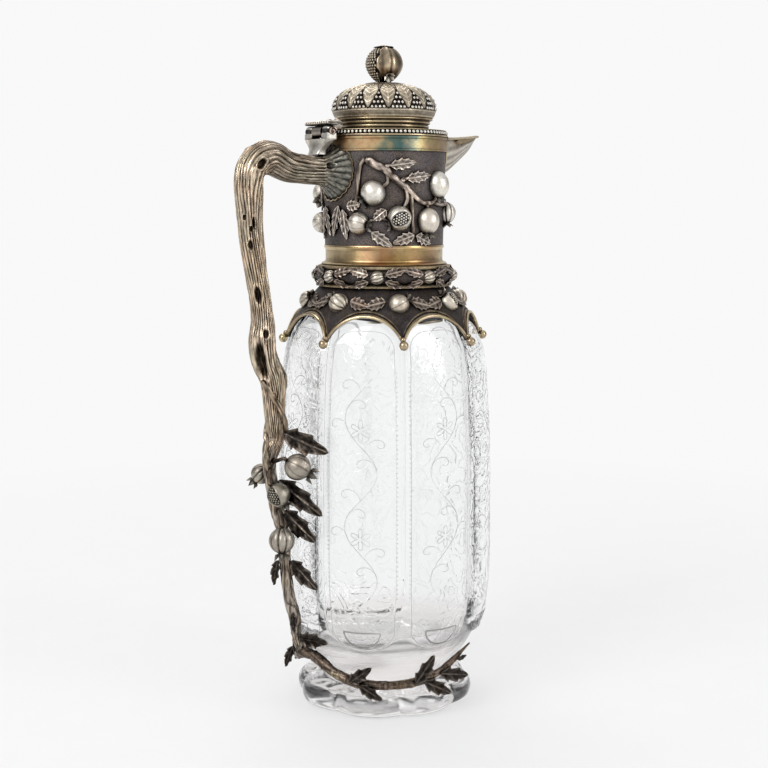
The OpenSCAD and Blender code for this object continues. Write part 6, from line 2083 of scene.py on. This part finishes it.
@dataclass
class Studio:
    """Pale floor and backdrop, soft lamps and the camera at the photograph's angle."""

    camera_at: tuple[float, float, float] = (-0.3379, -0.5203, 0.2221)
    pitch: float = 7.37
    azimuth: float = -33.0
    lens: float = 65.6
    white: float = 0.945
    floor_size: float = 12.0

    def floor(self) -> None:
        """A large floor: lit near the jug so that it holds the shadow, plain white far from it."""
        mesh = bpy.data.meshes.new("Floor")
        s = self.floor_size
        mesh.from_pydata([(-s, -s, 0), (s, -s, 0), (s, s, 0), (-s, s, 0)], [], [(0, 1, 2, 3)])
        made, bench = new_material("pale_floor")
        place = bench.add("TexCoord").outputs["Object"]
        far = bench.add("VectorMath", {"operation": "LENGTH"}, {0: place}).outputs["Value"]
        grain = bench.noise(place, 40.0, 2.0)
        albedo = bench.mix(grain, (0.3, 0.3, 0.3), (0.32, 0.32, 0.32))
        lit = bench.add("BsdfDiffuse", None, {"Color": albedo})
        glow = bench.add("Emission", None, {"Color": (1, 1, 1, 1), "Strength": 0.575})
        path = bench.add("LightPath")
        seen = bench.sum("ADD", path.outputs["Is Camera Ray"], path.outputs["Is Glossy Ray"], True)
        seen = bench.sum("ADD", seen, path.outputs["Is Transmission Ray"], True)
        dark = bench.add("Emission", None, {"Strength": 0.0})
        both = bench.add("MixShader", None, {0: seen, 1: dark.outputs[0], 2: glow.outputs[0]})
        near = bench.add("AddShader", None, {0: lit.outputs[0], 1: both.outputs[0]})
        plain = bench.add("Emission", None, {"Color": (1, 1, 1, 1), "Strength": self.white})
        away = bench.spread(far, 0.22, 0.62)
        away = bench.sum("MULTIPLY", away, seen)
        whole = bench.add("MixShader", None, {0: away, 1: near.outputs[0], 2: plain.outputs[0]})
        bench.finish(whole.outputs[0])
        mesh.materials.append(made)
        piece = bpy.data.objects.new("Floor", mesh)
        bpy.context.scene.collection.objects.link(piece)

    def world(self) -> None:
        """White behind the jug for the camera; for light a soft sky with two dark sides."""
        world = bpy.data.worlds.new("Studio")
        world.use_nodes = True
        world.node_tree.nodes.clear()
        bench = Bench(world.node_tree)
        way = bench.add("TexCoord").outputs["Generated"]
        turn = math.radians(self.azimuth)
        side = bench.add("VectorMath", {"operation": "DOT_PRODUCT"},
                         {0: way, 1: (math.cos(turn), math.sin(turn), 0.0)}).outputs["Value"]
        side = bench.sum("ABSOLUTE", side, 0.0)
        sky = bench.mix(bench.spread(side, 0.5, 0.92), (0.74, 0.74, 0.75), (0.25, 0.25, 0.255))
        white = (self.white,) * 3
        through_glass = bench.mix(bench.spread(side, 0.5, 0.95), white, (0.81, 0.81, 0.815))
        path = bench.add("LightPath")
        colour = bench.mix(path.outputs["Is Transmission Ray"], sky, through_glass)
        colour = bench.mix(path.outputs["Is Camera Ray"], colour, white)
        back = bench.add("Background", None, {"Color": colour, "Strength": 1.0})
        bench.tree.links.new(back.outputs[0], bench.add("OutputWorld").inputs[0])
        bpy.context.scene.world = world

    def lamp(self, name: str, azimuth: float, height: float, away: float, size: tuple[float, float],
             power: float) -> None:
        """An area lamp turned towards the jug's middle."""
        data = bpy.data.lights.new(name, "AREA")
        data.shape, data.size, data.size_y, data.energy = "RECTANGLE", size[0], size[1], power
        piece = bpy.data.objects.new(name, data)
        a = math.radians(azimuth)
        at = np.array([math.sin(a) * away, -math.cos(a) * away, height])
        piece.location = at
        aim = np.array([0, 0, 0.15]) - at
        flat = math.hypot(aim[0], aim[1])
        piece.rotation_euler = (math.atan2(flat, -aim[2]), 0.0, math.atan2(-aim[0], aim[1]))
        bpy.context.scene.collection.objects.link(piece)

    def camera(self) -> None:
        """The camera fitted to the photograph."""
        data = bpy.data.cameras.new("Camera")
        data.lens, data.sensor_width, data.clip_start = self.lens, 36.0, 0.01
        piece = bpy.data.objects.new("Camera", data)
        piece.location = self.camera_at
        piece.rotation_euler = (math.radians(90.0 - self.pitch), 0.0, math.radians(self.azimuth))
        bpy.context.scene.collection.objects.link(piece)
        bpy.context.scene.camera = piece

    def build(self) -> None:
        """Sets up floor, world, lamps, camera and the Standard view."""
        self.floor()
        self.world()
        self.lamp("KeyLamp", -75.0, 0.75, 0.9, (0.5, 0.5), 5.0)
        self.lamp("FillLamp", 30.0, 0.5, 1.0, (0.3, 0.7), 3.0)
        self.lamp("TopLamp", 160.0, 1.1, 0.5, (0.6, 0.4), 3.5)
        self.camera()
        bpy.context.scene.view_settings.view_transform = "Standard"


def main() -> None:
    """Builds the jug's pieces in order, then the studio."""
    logging.basicConfig(level=logging.INFO, format="%(name)s: %(message)s")
    for part in (GlassBody(), Collar(), Knop(), GiltBand(), Sleeve(), Spout(), Lid(), Hinge(), Handle(),
                 FootVine()):
        LOG.info("building %s", type(part).__name__)
        part.build()
    Studio().build()


if __name__ == "__main__":
    main()
